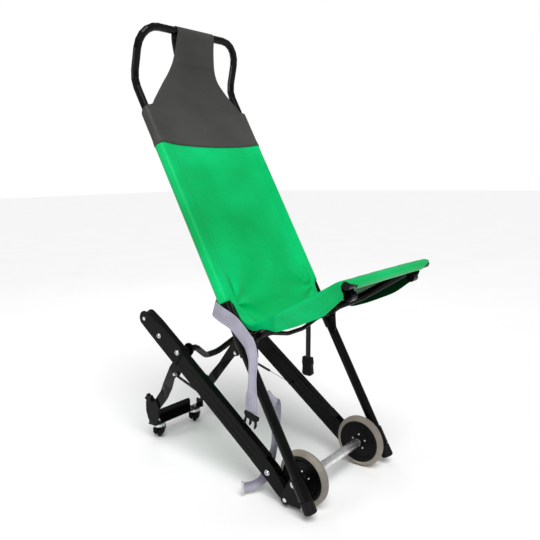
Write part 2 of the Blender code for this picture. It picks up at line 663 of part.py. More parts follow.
def build_track_head(looks, side, sign, hinge, x0, x1):
    """Cap over the track's upper end: two cheeks and a top web, open underneath."""
    nose = arc_points(NOSE_AXLE, 0.0265, -80, 92, 9)
    outline = [(0.585, TRACK_BASE), (0.70, TRACK_BASE), *nose, (0.735, 0.0600), (0.695, 0.0685), (0.683, 0.0705),
               (0.606, 0.0705), (0.598, 0.0685), (0.585, 0.0590)]
    low_outline = [(0.585, TRACK_BASE), (0.70, TRACK_BASE), *nose, (0.735, 0.0600), (0.597, 0.0605), (0.585, 0.0590)]
    outer = (x1 + sign * GAP, x1 + sign * (GAP + CHEEK_T))
    inner = (x0 - sign * (GAP + CHEEK_T), x0 - sign * GAP)
    leg_hole = circle_points(LEG_PIVOT, SPREADER_R + GAP, 16)
    axle_hole = circle_points(NOSE_AXLE, 0.0043, 12)
    bm = bmesh.new()
    add_plate(bm, on_track, outline, outer, (axle_hole,))
    head = add_object(f"track_head_{side}", bm, looks["black_paint"], hinge, smooth=False)
    bm = bmesh.new()
    add_plate(bm, on_track, low_outline, inner, (leg_hole, axle_hole))
    join_shape(head, add_object(f"inner_cheek_tool_{side}", bm, looks["black_paint"]), "UNION")
    web = [(0.600, 0.0584), (0.600, 0.0600), (0.735, 0.0595), (0.786, 0.0545), (0.786, 0.0525), (0.735, 0.0572),
           (0.724, 0.0584)]
    bm = bmesh.new()
    add_plate(bm, on_track, web, (inner[0] + sign * 0.001, outer[1] - sign * 0.001))
    join_shape(head, add_object(f"head_web_tool_{side}", bm, looks["black_paint"]), "UNION")
    add_stud(head, LEG_PIVOT, outer[1], sign, f"pivot_{side}")
    add_stud(head, GUIDE_BOLT, outer[1], sign, f"guide_{side}")


def build_track_foot(looks, side, sign, hinge, x0, x1):
    """Fork at the track's lower end: a long outer cheek, a short inner cheek and a web."""
    outer_line = [(0.185, 0.0030), (0.185, 0.0560), (0.120, 0.0560), (0.090, 0.0500)]
    outer_line += arc_points(TRACK_PIVOT, 0.0165, 75, 255, 9)
    outer_line += [(0.060, -0.0010), (0.110, 0.0020)]
    inner_line = [(0.160, 0.0080), (0.160, 0.0540), (0.110, 0.0540), (0.085, 0.0480)]
    inner_line += arc_points(TRACK_PIVOT, 0.0150, 75, 255, 9)
    inner_line += [(0.060, 0.0040)]
    hole = circle_points(TRACK_PIVOT, 0.0043, 12)
    outer = (x1 + sign * GAP, x1 + sign * (GAP + CHEEK_T))
    inner = (x0 + sign * 0.0023, x0 + sign * 0.0043)
    bm = bmesh.new()
    add_plate(bm, on_track, outer_line, outer, (hole,))
    foot = add_object(f"track_foot_{side}", bm, looks["black_paint"], hinge, smooth=False)
    bm = bmesh.new()
    add_plate(bm, on_track, inner_line, inner, (hole,))
    join_shape(foot, add_object(f"foot_cheek_tool_{side}", bm, looks["black_paint"]), "UNION")
    web = [(0.092, 0.0455), (0.112, 0.0490), (0.112, 0.0515), (0.092, 0.0480)]
    bm = bmesh.new()
    add_plate(bm, on_track, web, (inner[0] + sign * 0.0008, outer[1] - sign * 0.0008))
    join_shape(foot, add_object(f"foot_web_tool_{side}", bm, looks["black_paint"]), "UNION")
    add_stud(foot, FOOT_BOLT, outer[1], sign, f"foot_{side}")


def build_pulleys(looks, side, sign, hinge):
    """Flanged rollers that the belt turns round, each on its own axle point."""
    for label, place, radius in (("lower", TRACK_PIVOT, PULLEY_R), ("upper", NOSE_AXLE, NOSE_PULLEY_R)):
        centre = on_track(*place)
        spin = add_joint_point(f"{label}_pulley_axis_{side}", centre, hinge)
        bm = bmesh.new()
        wide = BELT_X[1] - BELT_X[0] - 0.001
        bore = 0.00415
        profile = ((bore, 0.0), (radius, 0.0), (radius, wide), (bore, wide))
        add_turned(bm, on_track(*place, sign * (BELT_X[0] + 0.0005)), Vector((sign, 0, 0)), profile, 20)
        add_object(f"{label}_pulley_{side}", bm, looks["nylon"], spin)


def add_belt(bm, sign):
    """Closed flat belt: along under the channel, round both pulleys and back inside it."""
    inner = []
    nose_turn = NOSE_PULLEY_R + 2 * GAP
    foot_turn = PULLEY_R + 2 * GAP
    inner += arc_points(TRACK_PIVOT, foot_turn, 88, 270, 7)
    inner += [(0.35, BELT_LOW + BELT_T), (0.7225, BELT_LOW + BELT_T)]
    inner += arc_points(NOSE_AXLE, nose_turn, -84, 92, 8)
    outer = []
    outer += arc_points(TRACK_PIVOT, foot_turn + BELT_T, 88, 270, 7)
    outer += [(0.35, BELT_LOW), (0.7225, BELT_LOW)]
    outer += arc_points(NOSE_AXLE, nose_turn + BELT_T, -84, 92, 8)
    rows = []
    for loop, x in ((inner, BELT_X[0]), (inner, BELT_X[1]), (outer, BELT_X[1]), (outer, BELT_X[0])):
        rows.append([bm.verts.new(on_track(a, h, sign * x)) for a, h in loop])
    ring_faces(bm, rows, close_rows=True)


def build_spreader(looks, hinge):
    """Dipped cross tube between the two track heads; the castor leg swings on its ends."""
    reach = TRACK_X[0] - GAP - CHEEK_T + 0.0020
    shape = ((-reach, 0.0), (-0.122, 0.0), (-0.030, -0.074), (0.030, -0.074), (0.122, 0.0), (reach, 0.0))
    corners = [on_track(LEG_PIVOT[0], LEG_PIVOT[1] + drop, x) for x, drop in shape]
    bm = bmesh.new()
    add_tube(bm, round_corners(corners, 0.050), SPREADER_R, 0.0090, 12)
    add_object("spreader_tube", bm, looks["black_paint"], hinge)


def build_track_bolts(looks, hinge):
    """The bolts on which the tracks turn and those that carry the upper pulleys."""
    for side, sign in SIDES:
        outward = Vector((sign, 0, 0))
        bm = bmesh.new()
        skin = sign * (TRACK_X[1] + GAP + CHEEK_T)
        add_bolt(bm, on_track(*NOSE_AXLE, skin), outward, 0.0068, 0.0045, 0.0040, 0.0330)
        add_object(f"nose_bolt_{side}", bm, looks["zinc"], hinge)
        bm = bmesh.new()
        add_bolt(bm, on_track(*TRACK_PIVOT, sign * BRACKET_X[1]), outward, 0.0068, 0.0045, 0.0040, 0.0335)
        add_object(f"track_pivot_bolt_{side}", bm, looks["zinc"])


def add_stud(target, place, face, sign, label):
    """Unite a domed bolt head with the outer face of a cheek."""
    bm = bmesh.new()
    profile = ((0.0, -0.0012), (0.0068, -0.0012), (0.0068, 0.0034), (0.0050, 0.0045), (0.0, 0.0045))
    add_turned(bm, on_track(*place, face), Vector((sign, 0, 0)), profile, 12, closed=False)
    join_shape(target, add_object(f"stud_tool_{label}", bm, target.data.materials[0]), "UNION")


# ---- castor leg ---------------------------------------------------------------------------
def arm_x(z):
    """Inner face of a leg arm at a height: the arms come together towards the carriage."""
    share = min(max((BEND_Z - z) / (BEND_Z - STRAIGHT_Z), 0.0), 1.0)
    return ARM_X_TOP + (ARM_X_LOW - ARM_X_TOP) * share


def arm_outline():
    """Side outline of a leg arm, down its rear edge and back up its front edge."""
    pivot = on_track(*LEG_PIVOT)
    head = arc_points((pivot.y, pivot.z), 0.0210, 215, 15, 8)
    rear = [(0.2560, 0.3660), (0.2960, 0.3180), (0.3440, 0.2480), (0.3770, 0.2060), (0.4180, 0.1560), (0.4430, 0.0860)]
    front = [(0.4060, 0.0860), (0.3900, 0.1340), (0.3470, 0.1820), (0.3120, 0.2290), (0.2780, 0.2780),
             (0.2660, 0.2870), (0.2540, 0.2880), (0.2480, 0.2990), (0.2290, 0.3280)]
    return head + rear + front


def add_arm(bm, sign):
    """Leg arm: the outline bent inwards to the carriage, with holes for its pivot and bolt."""
    pivot = on_track(*LEG_PIVOT)
    loops = (arm_outline(), circle_points((pivot.y, pivot.z), SPREADER_R + GAP, 16),
             circle_points(SPRING_BOLT, 0.0043, 10))
    edges = []
    for loop in loops:
        verts = [bm.verts.new(in_side_view(y, z, sign * arm_x(z))) for y, z in loop]
        edges += [bm.edges.new((verts[i], verts[(i + 1) % len(verts)])) for i in range(len(verts))]
    filled = bmesh.ops.triangle_fill(bm, edges=edges, use_beauty=True, use_dissolve=False)
    flat = [item for item in filled["geom"] if isinstance(item, bmesh.types.BMFace)]
    grown = bmesh.ops.extrude_face_region(bm, geom=flat)
    moved = [item for item in grown["geom"] if isinstance(item, bmesh.types.BMVert)]
    bmesh.ops.translate(bm, verts=moved, vec=(sign * ARM_T, 0, 0))


def build_leg(looks, hinge):
    """Two arms, their lower side plates and knobs, the angle carriage and the spring bolts."""
    for side, sign in SIDES:
        bm = bmesh.new()
        add_arm(bm, sign)
        add_object(f"leg_arm_{side}", bm, looks["black_paint"], hinge, smooth=False)
        bm = bmesh.new()
        out = ARM_X_LOW + ARM_T + GAP
        shield = [(0.4010, 0.0830), (0.4230, 0.0760), (0.4470, 0.0850), (0.4570, 0.1150), (0.4560, 0.1500),
                  (0.4440, 0.1700), (0.4180, 0.1740), (0.3960, 0.1600), (0.3870, 0.1400), (0.3900, 0.1080)]
        add_plate(bm, in_side_view, shield, (sign * out, sign * (out + 0.0055)))
        plate = add_object(f"leg_side_plate_{side}", bm, looks["black_plastic"], hinge, smooth=False)
        bm = bmesh.new()
        add_knob(bm, sign, out + 0.0045)
        join_shape(plate, add_object(f"knob_tool_{side}", bm, looks["black_plastic"]), "UNION")
        bm = bmesh.new()
        add_spring_bolt(bm, sign)
        add_object(f"spring_bolt_{side}", bm, looks["zinc"], hinge)
    build_carriage(looks, hinge)


def add_knob(bm, sign, face):
    """Lobed clamping knob at the top of a side plate."""
    lobes = 5
    outline = []
    for i in range(30):
        turn = 2 * math.pi * i / 30
        radius = 0.0155 + 0.0030 * math.cos(lobes * turn)
        outline.append((0.4290 + radius * math.cos(turn), 0.1700 + radius * math.sin(turn)))
    add_plate(bm, in_side_view, outline, (sign * face, sign * (face + 0.012)))


def add_spring_bolt(bm, sign):
    """Bolt through the arm with a nut on each side, one of them holding the spring."""
    centre = in_side_view(*SPRING_BOLT, sign * (ARM_X_TOP - GAP))
    thick = ARM_T + 2 * GAP
    profile = ((0.0, -0.007), (0.0040, -0.007), (0.0040, -0.005), (0.0068, -0.005), (0.0068, 0.0), (0.0040, 0.0),
               (0.0040, thick), (0.0068, thick), (0.0068, thick + 0.0045), (0.0035, thick + 0.0045),
               (0.0035, thick + 0.0105), (0.0055, thick + 0.0105), (0.0055, thick + 0.0130), (0.0, thick + 0.0130))
    add_turned(bm, centre, Vector((sign, 0, 0)), profile, 12, closed=False)


def build_carriage(looks, hinge):
    """Angle bar under the leg: a level flange with the castor stems, a standing flange behind."""
    flange_t = 0.004
    reach = ARM_X_LOW - GAP
    half = 0.086
    y0, y1 = CARRIAGE_Y
    holes = [circle_points((sign * CASTOR_X, CASTOR_Y), 0.0043, 12) for sign in (-1.0, 1.0)]

    def level(a, b, z):
        return Vector((a, b, z))

    outline = [(-reach, y0), (reach, y0), (reach, y1), (-reach, y1)]
    bm = bmesh.new()
    edges = []
    for loop in (outline, *holes):
        verts = [bm.verts.new(level(a, b, CARRIAGE_Z - flange_t)) for a, b in loop]
        edges += [bm.edges.new((verts[i], verts[(i + 1) % len(verts)])) for i in range(len(verts))]
    filled = bmesh.ops.triangle_fill(bm, edges=edges, use_beauty=True, use_dissolve=False)
    flat = [item for item in filled["geom"] if isinstance(item, bmesh.types.BMFace)]
    grown = bmesh.ops.extrude_face_region(bm, geom=flat)
    moved = [item for item in grown["geom"] if isinstance(item, bmesh.types.BMVert)]
    bmesh.ops.translate(bm, verts=moved, vec=(0, 0, flange_t))
    carriage = add_object("castor_carriage", bm, looks["black_paint"], hinge, smooth=False)
    top = 0.0978
    corner = 0.007
    standing = [(-half, CARRIAGE_Z - 0.002), (half, CARRIAGE_Z - 0.002), (half, top - corner), (half - corner, top),
                (-half + corner, top), (-half, top - corner)]
    bm = bmesh.new()
    verts = [bm.verts.new((x, y1 - flange_t, z)) for x, z in standing]
    face = bm.faces.new(verts)
    grown = bmesh.ops.extrude_face_region(bm, geom=[face])
    moved = [item for item in grown["geom"] if isinstance(item, bmesh.types.BMVert)]
    bmesh.ops.translate(bm, verts=moved, vec=(0, flange_t, 0))
    join_shape(carriage, add_object("standing_flange_tool", bm, looks["black_paint"]), "UNION")
    for sign in (-1.0, 1.0):
        bm = bmesh.new()
        low = 0.0860
        ear = [(0.4250, CARRIAGE_Z - flange_t), (0.4580, CARRIAGE_Z - flange_t), (0.4580, low - GAP),
               (0.4250, low - GAP)]
        add_plate(bm, in_side_view, ear, (sign * (reach - 0.005), sign * reach))
        join_shape(carriage, add_object(f"ear_tool_{sign:+.0f}", bm, looks["black_paint"]), "UNION")


def build_castor(looks, side, sign, leg_hinge):
    """Swivel castor: bright housing with its stem, black hooded fork and small wheel."""
    stem = Vector((sign * CASTOR_X, CASTOR_Y, 0.0))
    under = CARRIAGE_Z - 0.004 - GAP
    bm = bmesh.new()
    top = CARRIAGE_Z + GAP
    profile = ((0.0, under - 0.013), (0.0215, under - 0.013), (0.0235, under - 0.010), (0.0225, under - 0.002),
               (0.0200, under), (0.0040, under), (0.0040, top), (0.0075, top), (0.0075, top + 0.0065),
               (0.0040, top + 0.0068), (0.0040, top + 0.0100), (0.0, top + 0.0100))
    add_turned(bm, stem, Vector((0, 0, 1)), profile, 20, closed=False)
    add_object(f"castor_housing_{side}", bm, looks["zinc"], leg_hinge)
    swivel = add_joint_point(f"castor_swivel_{side}", stem, leg_hinge)
    turn = Matrix.Rotation(CASTOR_TURN, 4, "Z")
    roll = turn @ Vector((0, 1, 0))
    axle = turn @ Vector((1, 0, 0))
    wheel_centre = stem + roll * CASTOR_TRAIL + Vector((0, 0, CASTOR_R))
    crown_top = under - 0.0134
    bm = bmesh.new()
    add_fork(bm, stem, roll, axle, crown_top)
    fork = add_object(f"castor_fork_{side}", bm, looks["black_plastic"], swivel, smooth=False)
    bm = bmesh.new()
    add_rod(bm, wheel_centre - axle * 0.03, wheel_centre + axle * 0.03, 0.0020 + GAP, 16)
    join_shape(fork, add_object(f"fork_bore_tool_{side}", bm, looks["black_plastic"]), "DIFFERENCE")
    spin = add_joint_point(f"castor_axle_{side}", wheel_centre, swivel)
    bm = bmesh.new()
    half = 0.0075
    pin = 0.0135
    pin_r = 0.0020
    profile = ((0.0, -pin), (pin_r, -pin), (pin_r, -half), (CASTOR_R - 0.004, -half),
               (CASTOR_R - 0.0008, -half + 0.002), (CASTOR_R, 0.0), (CASTOR_R - 0.0008, half - 0.002),
               (CASTOR_R - 0.004, half), (pin_r, half), (pin_r, pin), (0.0, pin))
    add_turned(bm, wheel_centre, axle, profile, 24, closed=False)
    add_object(f"castor_wheel_{side}", bm, looks["rubber"], spin)


def add_fork(bm, stem, roll, axle, crown_top):
    """Hooded fork as one section pushed along the roll direction: a crown and two legs."""
    half = 0.0210
    slot = 0.0082
    leg_low = CASTOR_R - 0.0045
    slot_top = 2 * CASTOR_R + 0.0007
    section = ((-half + 0.006, crown_top), (-half, crown_top - 0.0035), (-half, leg_low + 0.010), (-slot - 0.006, leg_low),
               (-slot, leg_low), (-slot, slot_top), (slot, slot_top), (slot, leg_low), (slot + 0.006, leg_low),
               (half, leg_low + 0.010), (half, crown_top - 0.0035), (half - 0.006, crown_top))
    front = [bm.verts.new(stem + axle * a + roll * (CASTOR_TRAIL - 0.0205) + Vector((0, 0, z))) for a, z in section]
    face = bm.faces.new(front)
    grown = bmesh.ops.extrude_face_region(bm, geom=[face])
    moved = [item for item in grown["geom"] if isinstance(item, bmesh.types.BMVert)]
    bmesh.ops.translate(bm, verts=moved, vec=roll * 0.0410)


def build_springs(looks, hinge):
    """Return spring and its wire from each leg arm's bolt to the eye on the track."""
    for side, sign in SIDES:
        x = sign * (ARM_X_TOP + ARM_T + GAP * 2 + 0.0073)
        start = in_side_view(*SPRING_BOLT, x)
        end = on_track(*SPRING_EYE, sign * (TRACK_X[0] - GAP - 0.0061))
        ahead = (end - start).normalized()
        length = (end - start).length
        coil_end = length * 0.62
        bm = bmesh.new()
        add_turned(bm, start, ahead, ((0.0, 0.0085), (0.0046, 0.0085), (0.0046, coil_end), (0.0012, coil_end + 0.003),
                                      (0.0012, length - 0.0060), (0.0, length - 0.0060)), 12, closed=False)
        add_object(f"return_spring_{side}", bm, looks["spring_steel"], hinge)


# ---- lap belt -----------------------------------------------------------------------------
def build_lap_belt(looks):
    """Lap strap with its two buckle halves and the loose tail with a tip clip."""
    build_right_strap(looks)
    build_left_strap(looks)


def build_right_strap(looks):
    """Strap from the right upright: across it, down to the tongue buckle, then the loose tail."""
    x_out = -UPRIGHT_X - UPRIGHT_R - 0.0026
    level = Vector((0, 0, 1))
    upper = [in_side_view(0.0060, 0.5770, x_out), in_side_view(-0.0400, 0.5640, x_out),
             in_side_view(-0.0900, 0.5430, x_out), in_side_view(-0.1500, 0.4880, x_out),
             in_side_view(-0.1640, 0.4380, x_out), in_side_view(-0.1610, 0.3820, x_out),
             in_side_view(-0.1530, 0.3300, x_out + 0.001), in_side_view(-0.1500, 0.2830, x_out + 0.003)]
    path = smooth_path(upper, 3)
    bm = bmesh.new()
    widths = []
    for i in range(len(path)):
        share = i / (len(path) - 1)
        dip = math.exp(-((share - 0.62) / 0.14) ** 2)
        widths.append(STRAP_W / 2 * (1 - 0.55 * dip))
    add_ribbon(bm, path, Vector((0, 0.6, 0.8)), widths, STRAP_T)
    add_object("lap_strap_right", bm, looks["webbing"])
    bm = bmesh.new()
    tongue = [(-0.1745, 0.2800), (-0.1745, 0.2620), (-0.1660, 0.2570), (-0.1660, 0.2300), (-0.1600, 0.2300),
              (-0.1570, 0.2560), (-0.1510, 0.2560), (-0.1505, 0.2260), (-0.1455, 0.2260), (-0.1450, 0.2560),
              (-0.1390, 0.2560), (-0.1360, 0.2300), (-0.1300, 0.2300), (-0.1300, 0.2570), (-0.1215, 0.2620),
              (-0.1215, 0.2800)]
    add_plate(bm, in_side_view, tongue, (x_out - 0.0012, x_out + 0.0068))
    add_object("buckle_tongue", bm, looks["black_plastic"], smooth=False)
    inner = -0.1690
    tail = [in_side_view(-0.1790, 0.3160, inner), in_side_view(-0.1815, 0.2430, inner),
            in_side_view(-0.1745, 0.1620, inner), in_side_view(-0.1530, 0.0850, inner - 0.001),
            in_side_view(-0.1390, 0.0480, inner - 0.012), in_side_view(-0.1240, 0.0335, inner - 0.038),
            in_side_view(-0.1060, 0.0320, inner - 0.066)]
    path = smooth_path(tail, 4)
    bm = bmesh.new()
    across = []
    for i in range(len(path)):
        share = i / (len(path) - 1)
        across.append(Vector((-0.10 * share, 0.95 * (1 - share) ** 2, 0.25 + 0.75 * share)))
    width = [STRAP_W / 2 * (0.92 - 0.26 * min(1.0, 2 * i / len(path))) for i in range(len(path))]
    add_ribbon(bm, path, across, width, STRAP_T)
    add_object("lap_strap_tail", bm, looks["webbing"])
    end = path[-1]
    ahead = (path[-1] - path[-2]).normalized()
    bm = bmesh.new()
    clip = [end + ahead * 0.0004, end + ahead * 0.0074]
    add_ribbon(bm, clip, level, 0.0185, 0.0055)
    add_object("strap_tip_clip", bm, looks["zinc"], smooth=False)


def build_left_strap(looks):
    """Short strap that hangs from the left of the seat, with the socket buckle."""
    x = 0.1480
    path = smooth_path([in_side_view(-0.0800, 0.5200, x), in_side_view(-0.0800, 0.4500, x),
                        in_side_view(-0.0790, 0.3900, x), in_side_view(-0.0780, 0.3460, x)], 3)
    bm = bmesh.new()
    add_ribbon(bm, path, Vector((0.25, 1, 0)), 0.0125, STRAP_T)
    add_object("lap_strap_left", bm, looks["webbing"])
    bm = bmesh.new()
    socket = [(-0.0950, 0.3440), (-0.0975, 0.3250), (-0.0950, 0.3100), (-0.0975, 0.2850), (-0.0900, 0.2780),
              (-0.0640, 0.2780), (-0.0565, 0.2850), (-0.0590, 0.3100), (-0.0565, 0.3250), (-0.0590, 0.3440)]
    add_plate(bm, in_side_view, socket, (x - 0.0075, x + 0.0065))
    add_object("buckle_socket", bm, looks["black_plastic"], smooth=False)


# ---- whole chair --------------------------------------------------------------------------
def build_chair():
    """Clear the scene and build every piece of the chair."""
    for obj in list(bpy.data.objects):
        bpy.data.objects.remove(obj, do_unlink=True)
    looks = make_materials()
    build_uprights(looks)
    build_handle(looks)
    build_foot_brackets(looks)
    build_axle(looks)
    for side, sign in SIDES:
        build_wheel(looks, side, sign)
    build_seat_brackets(looks)
    seat_hinge = build_seat_frame(looks)
    build_seat_panel(looks, seat_hinge)
    build_sling(looks)
    track_hinge = add_joint_point("track_hinge", on_track(*TRACK_PIVOT))
    for side, sign in SIDES:
        build_track(looks, side, sign, track_hinge)
    build_spreader(looks, track_hinge)
    build_track_bolts(looks, track_hinge)
    leg_hinge = add_joint_point("leg_hinge", on_track(*LEG_PIVOT), track_hinge)
    build_leg(looks, leg_hinge)
    for side, sign in SIDES:
        build_castor(looks, side, sign, leg_hinge)
    build_springs(looks, track_hinge)
    build_lap_belt(looks)
    for obj in bpy.data.objects:
        if not obj.parent:
            obj.location.y += CENTRE_Y


build_chair()
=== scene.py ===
import math

import bmesh
import bpy
from mathutils import Matrix, Vector, noise


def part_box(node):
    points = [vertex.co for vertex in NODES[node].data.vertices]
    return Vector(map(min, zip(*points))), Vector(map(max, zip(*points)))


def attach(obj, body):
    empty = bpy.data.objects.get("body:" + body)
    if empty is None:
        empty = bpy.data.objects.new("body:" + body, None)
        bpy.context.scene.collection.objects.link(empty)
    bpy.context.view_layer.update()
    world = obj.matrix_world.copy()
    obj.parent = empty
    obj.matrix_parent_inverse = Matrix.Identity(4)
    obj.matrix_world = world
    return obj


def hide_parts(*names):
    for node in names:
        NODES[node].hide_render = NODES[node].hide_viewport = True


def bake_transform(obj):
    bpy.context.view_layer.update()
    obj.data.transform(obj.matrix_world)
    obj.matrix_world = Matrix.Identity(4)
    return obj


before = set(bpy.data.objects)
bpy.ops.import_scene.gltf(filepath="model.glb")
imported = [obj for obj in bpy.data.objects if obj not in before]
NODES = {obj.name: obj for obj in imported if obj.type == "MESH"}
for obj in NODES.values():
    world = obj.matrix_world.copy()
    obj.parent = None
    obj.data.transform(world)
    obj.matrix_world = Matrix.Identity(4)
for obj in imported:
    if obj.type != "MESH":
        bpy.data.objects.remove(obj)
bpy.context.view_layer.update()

# ---- the chair's main lines, in metres, the same as the CAD's -------------------------------
SHIFT = 0.0036                                # the row frame's Y is this much further back
LEAN = math.radians(28.3)
FOOT = Vector((0, -0.349 + SHIFT, 0.025))
UP = Vector((0, math.sin(LEAN), math.cos(LEAN)))
BACK = Vector((0, math.cos(LEAN), -math.sin(LEAN)))
TRACK_ANGLE = math.radians(36.66)
TRACK_ORIGIN = Vector((0, -0.2575 + SHIFT, 0))
ALONG = Vector((0, math.cos(TRACK_ANGLE), math.sin(TRACK_ANGLE)))
SQUARE = Vector((0, -math.sin(TRACK_ANGLE), math.cos(TRACK_ANGLE)))
UPRIGHT_X = 0.2253
SLEEVE_R = 0.0188
WEB_EDGE = math.radians(12)                   # where the web leaves the sleeve
SLEEVE_TURN = math.radians(300)               # how far the sheet goes round each upright
SHEET_T = 0.0013
SHEET_GAP = 0.0008                            # between a sheet and the bar that it wraps
WEBBING_T = 0.0016
WEB_SAG = 0.012                               # the back's web hangs this far behind its edges
NECK_OFFSET = 0.006                           # the neck strap sits a little to the chair's left
NECK_HALF = 0.085
SLEEVE_LOW, BORDER, SLEEVE_TOP = 0.648, 1.193, 1.321      # stations along the uprights
BORDER_BOW = 0.007                            # dip of the colour border at its middle
BORDER_LAP = 0.008                            # the grey sheet laps this far over the green one
HANDLE_BAR_R, SEAT_BAR_R = 0.0127, 0.0125
HANDLE_BAR = Vector((0, 0.2858 + SHIFT, 1.445))
HANDLE_UP = Vector((0, -0.2397, 0.9709))
HANDLE_FRONT = Vector((0, -0.9709, -0.2397))
SEAT_BAR = Vector((0, -0.4665 + SHIFT, 0.6905))
BACK_ROWS, HEAD_ROWS = 64, 16
WEB_COLUMNS = 48
OUTER_COLUMNS = 28                            # on each side of the web
LAP_COLUMNS = 3                               # the last of them, lapped on the web's back
SEAM_COLUMNS = (3, WEB_COLUMNS - 3)
HEM_COLUMN = -4                               # stitched column of the seat's side flaps
HEM_ROWS = slice(40, 78)                      # rows of the seat part that its hems run along
FRONT_SEAM_ROW = 80
THREAD_LIFT = 0.0008                          # stitching lines stand this far off a sheet's rows
SIDES = (("left", 1), ("right", -1))
PAINTED_SHADE_FROM_Y = -0.110                        # from here forward, the seat part's underside is painted a darker green as painted shade


def at(y, z, x=0.0):
    """A point from the CAD source's own Y and Z."""
    return Vector((x, y + SHIFT, z))


def on_upright(station, behind, x=0.0):
    """A point by its station along the uprights and its distance behind their centre line."""
    return FOOT + UP * station + BACK * behind + Vector((x, 0, 0))


def on_track(station, height, x=0.0):
    """A point by its station along the tracks and its height square to them."""
    return TRACK_ORIGIN + ALONG * station + SQUARE * height + Vector((x, 0, 0))


def smooth_step(a, b, v):
    """0 where v is at a, 1 where it is at b, and a smooth rise between them."""
    t = max(0.0, min(1.0, (v - a) / (b - a)))
    return t * t * (3 - 2 * t)


def curve_through(points, steps):
    """Catmull-Rom line through tuples of any length, evenly spaced between each two."""
    out = []
    last = len(points) - 1
    for i in range(last):
        p = [points[max(0, min(last, i + k))] for k in (-1, 0, 1, 2)]
        for j in range(steps):
            t = j / steps
            out.append(tuple(
                0.5 * (2 * b + (c - a) * t + (2 * a - 5 * b + 4 * c - d) * t * t
                       + (3 * b - a - 3 * c + d) * t ** 3)
                for a, b, c, d in zip(*p)))
    out.append(tuple(points[-1]))
    return out


def tangent(points, i):
    """The way a line of points runs at one of them, not scaled to 1."""
    return points[min(i + 1, len(points) - 1)] - points[max(i - 1, 0)]


# ---- mesh helpers --------------------------------------------------------------------------
def mesh_object(name, vertices, faces, material, uvs=None):
    """A smooth-shaded mesh in the scene, with its UVs in metres when they are given."""
    mesh = bpy.data.meshes.new(name)
    mesh.from_pydata([tuple(v) for v in vertices], [], faces)
    if uvs is not None:
        layer = mesh.uv_layers.new(name="metres")
        for loop in mesh.loops:
            layer.data[loop.index].uv = uvs[loop.vertex_index]
    mesh.polygons.foreach_set("use_smooth", [True] * len(mesh.polygons))
    mesh.update()
    obj = bpy.data.objects.new(name, mesh)
    bpy.context.scene.collection.objects.link(obj)
    mesh.materials.append(material)
    return obj


def frames_along(path, up):
    """Tangent, side and normal at each point, with the side kept across the given direction."""
    out = []
    for i in range(len(path)):
        t = tangent(path, i).normalized()
        n = (up - t * up.dot(t)).normalized()
        out.append((t, n.cross(t), n))
    return out


def ring_faces(rings, sides):
    """Faces between rings of vertices that follow each other, and a cap on each end."""
    faces = []
    for i in range(rings - 1):
        for k in range(sides):
            a, b = i * sides + k, i * sides + (k + 1) % sides
            faces.append((a, b, b + sides, a + sides))
    last = (rings - 1) * sides
    faces.append(tuple(reversed(range(sides))))
    faces.append(tuple(last + k for k in range(sides)))
    return faces


def tube(path, radii, sides, up=Vector((1, 0, 0))):
    """Vertices and faces of a closed round tube along the path."""
    vertices = []
    for p, r, (_, s, n) in zip(path, radii, frames_along(path, up)):
        for k in range(sides):
            a = 2 * math.pi * k / sides
            vertices.append(p + (s * math.cos(a) + n * math.sin(a)) * r)
    return vertices, ring_faces(len(path), sides)


def join(parts):
    """One list of vertices and faces out of several."""
    vertices, faces = [], []
    for v, f in parts:
        base = len(vertices)
        vertices += v
        faces += [tuple(i + base for i in face) for face in f]
    return vertices, faces


def stitches(line, normals, pitch=0.0046, length=0.0030, radius=0.00036):
    """Thread lying along a line of points, as small rounded bars just proud of the cloth."""
    parts = []
    spare = pitch / 2
    for a, b, n in zip(line, line[1:], normals):
        step = (b - a).length
        while spare < step:
            t = (b - a).normalized()
            mid = a + t * spare + n * 0.0002
            path = [mid + t * length * k - n * radius * (1.6 if abs(k) > 0.4 else 0.0)
                    for k in (-0.5, -0.28, 0.28, 0.5)]
            parts.append(tube(path, [radius * 0.5, radius, radius, radius * 0.5], 6, n))
            spare += pitch
        spare -= step
    return join(parts)


def turned(origin, axis, profile, sides):
    """A closed turned body, the profile given as (along the axis, radius)."""
    axis = axis.normalized()
    side = axis.orthogonal().normalized()
    other = axis.cross(side)
    vertices = []
    for along, r in profile:
        for k in range(sides):
            a = 2 * math.pi * k / sides
            vertices.append(origin + axis * along + (side * math.cos(a) + other * math.sin(a)) * r)
    return vertices, ring_faces(len(profile), sides)


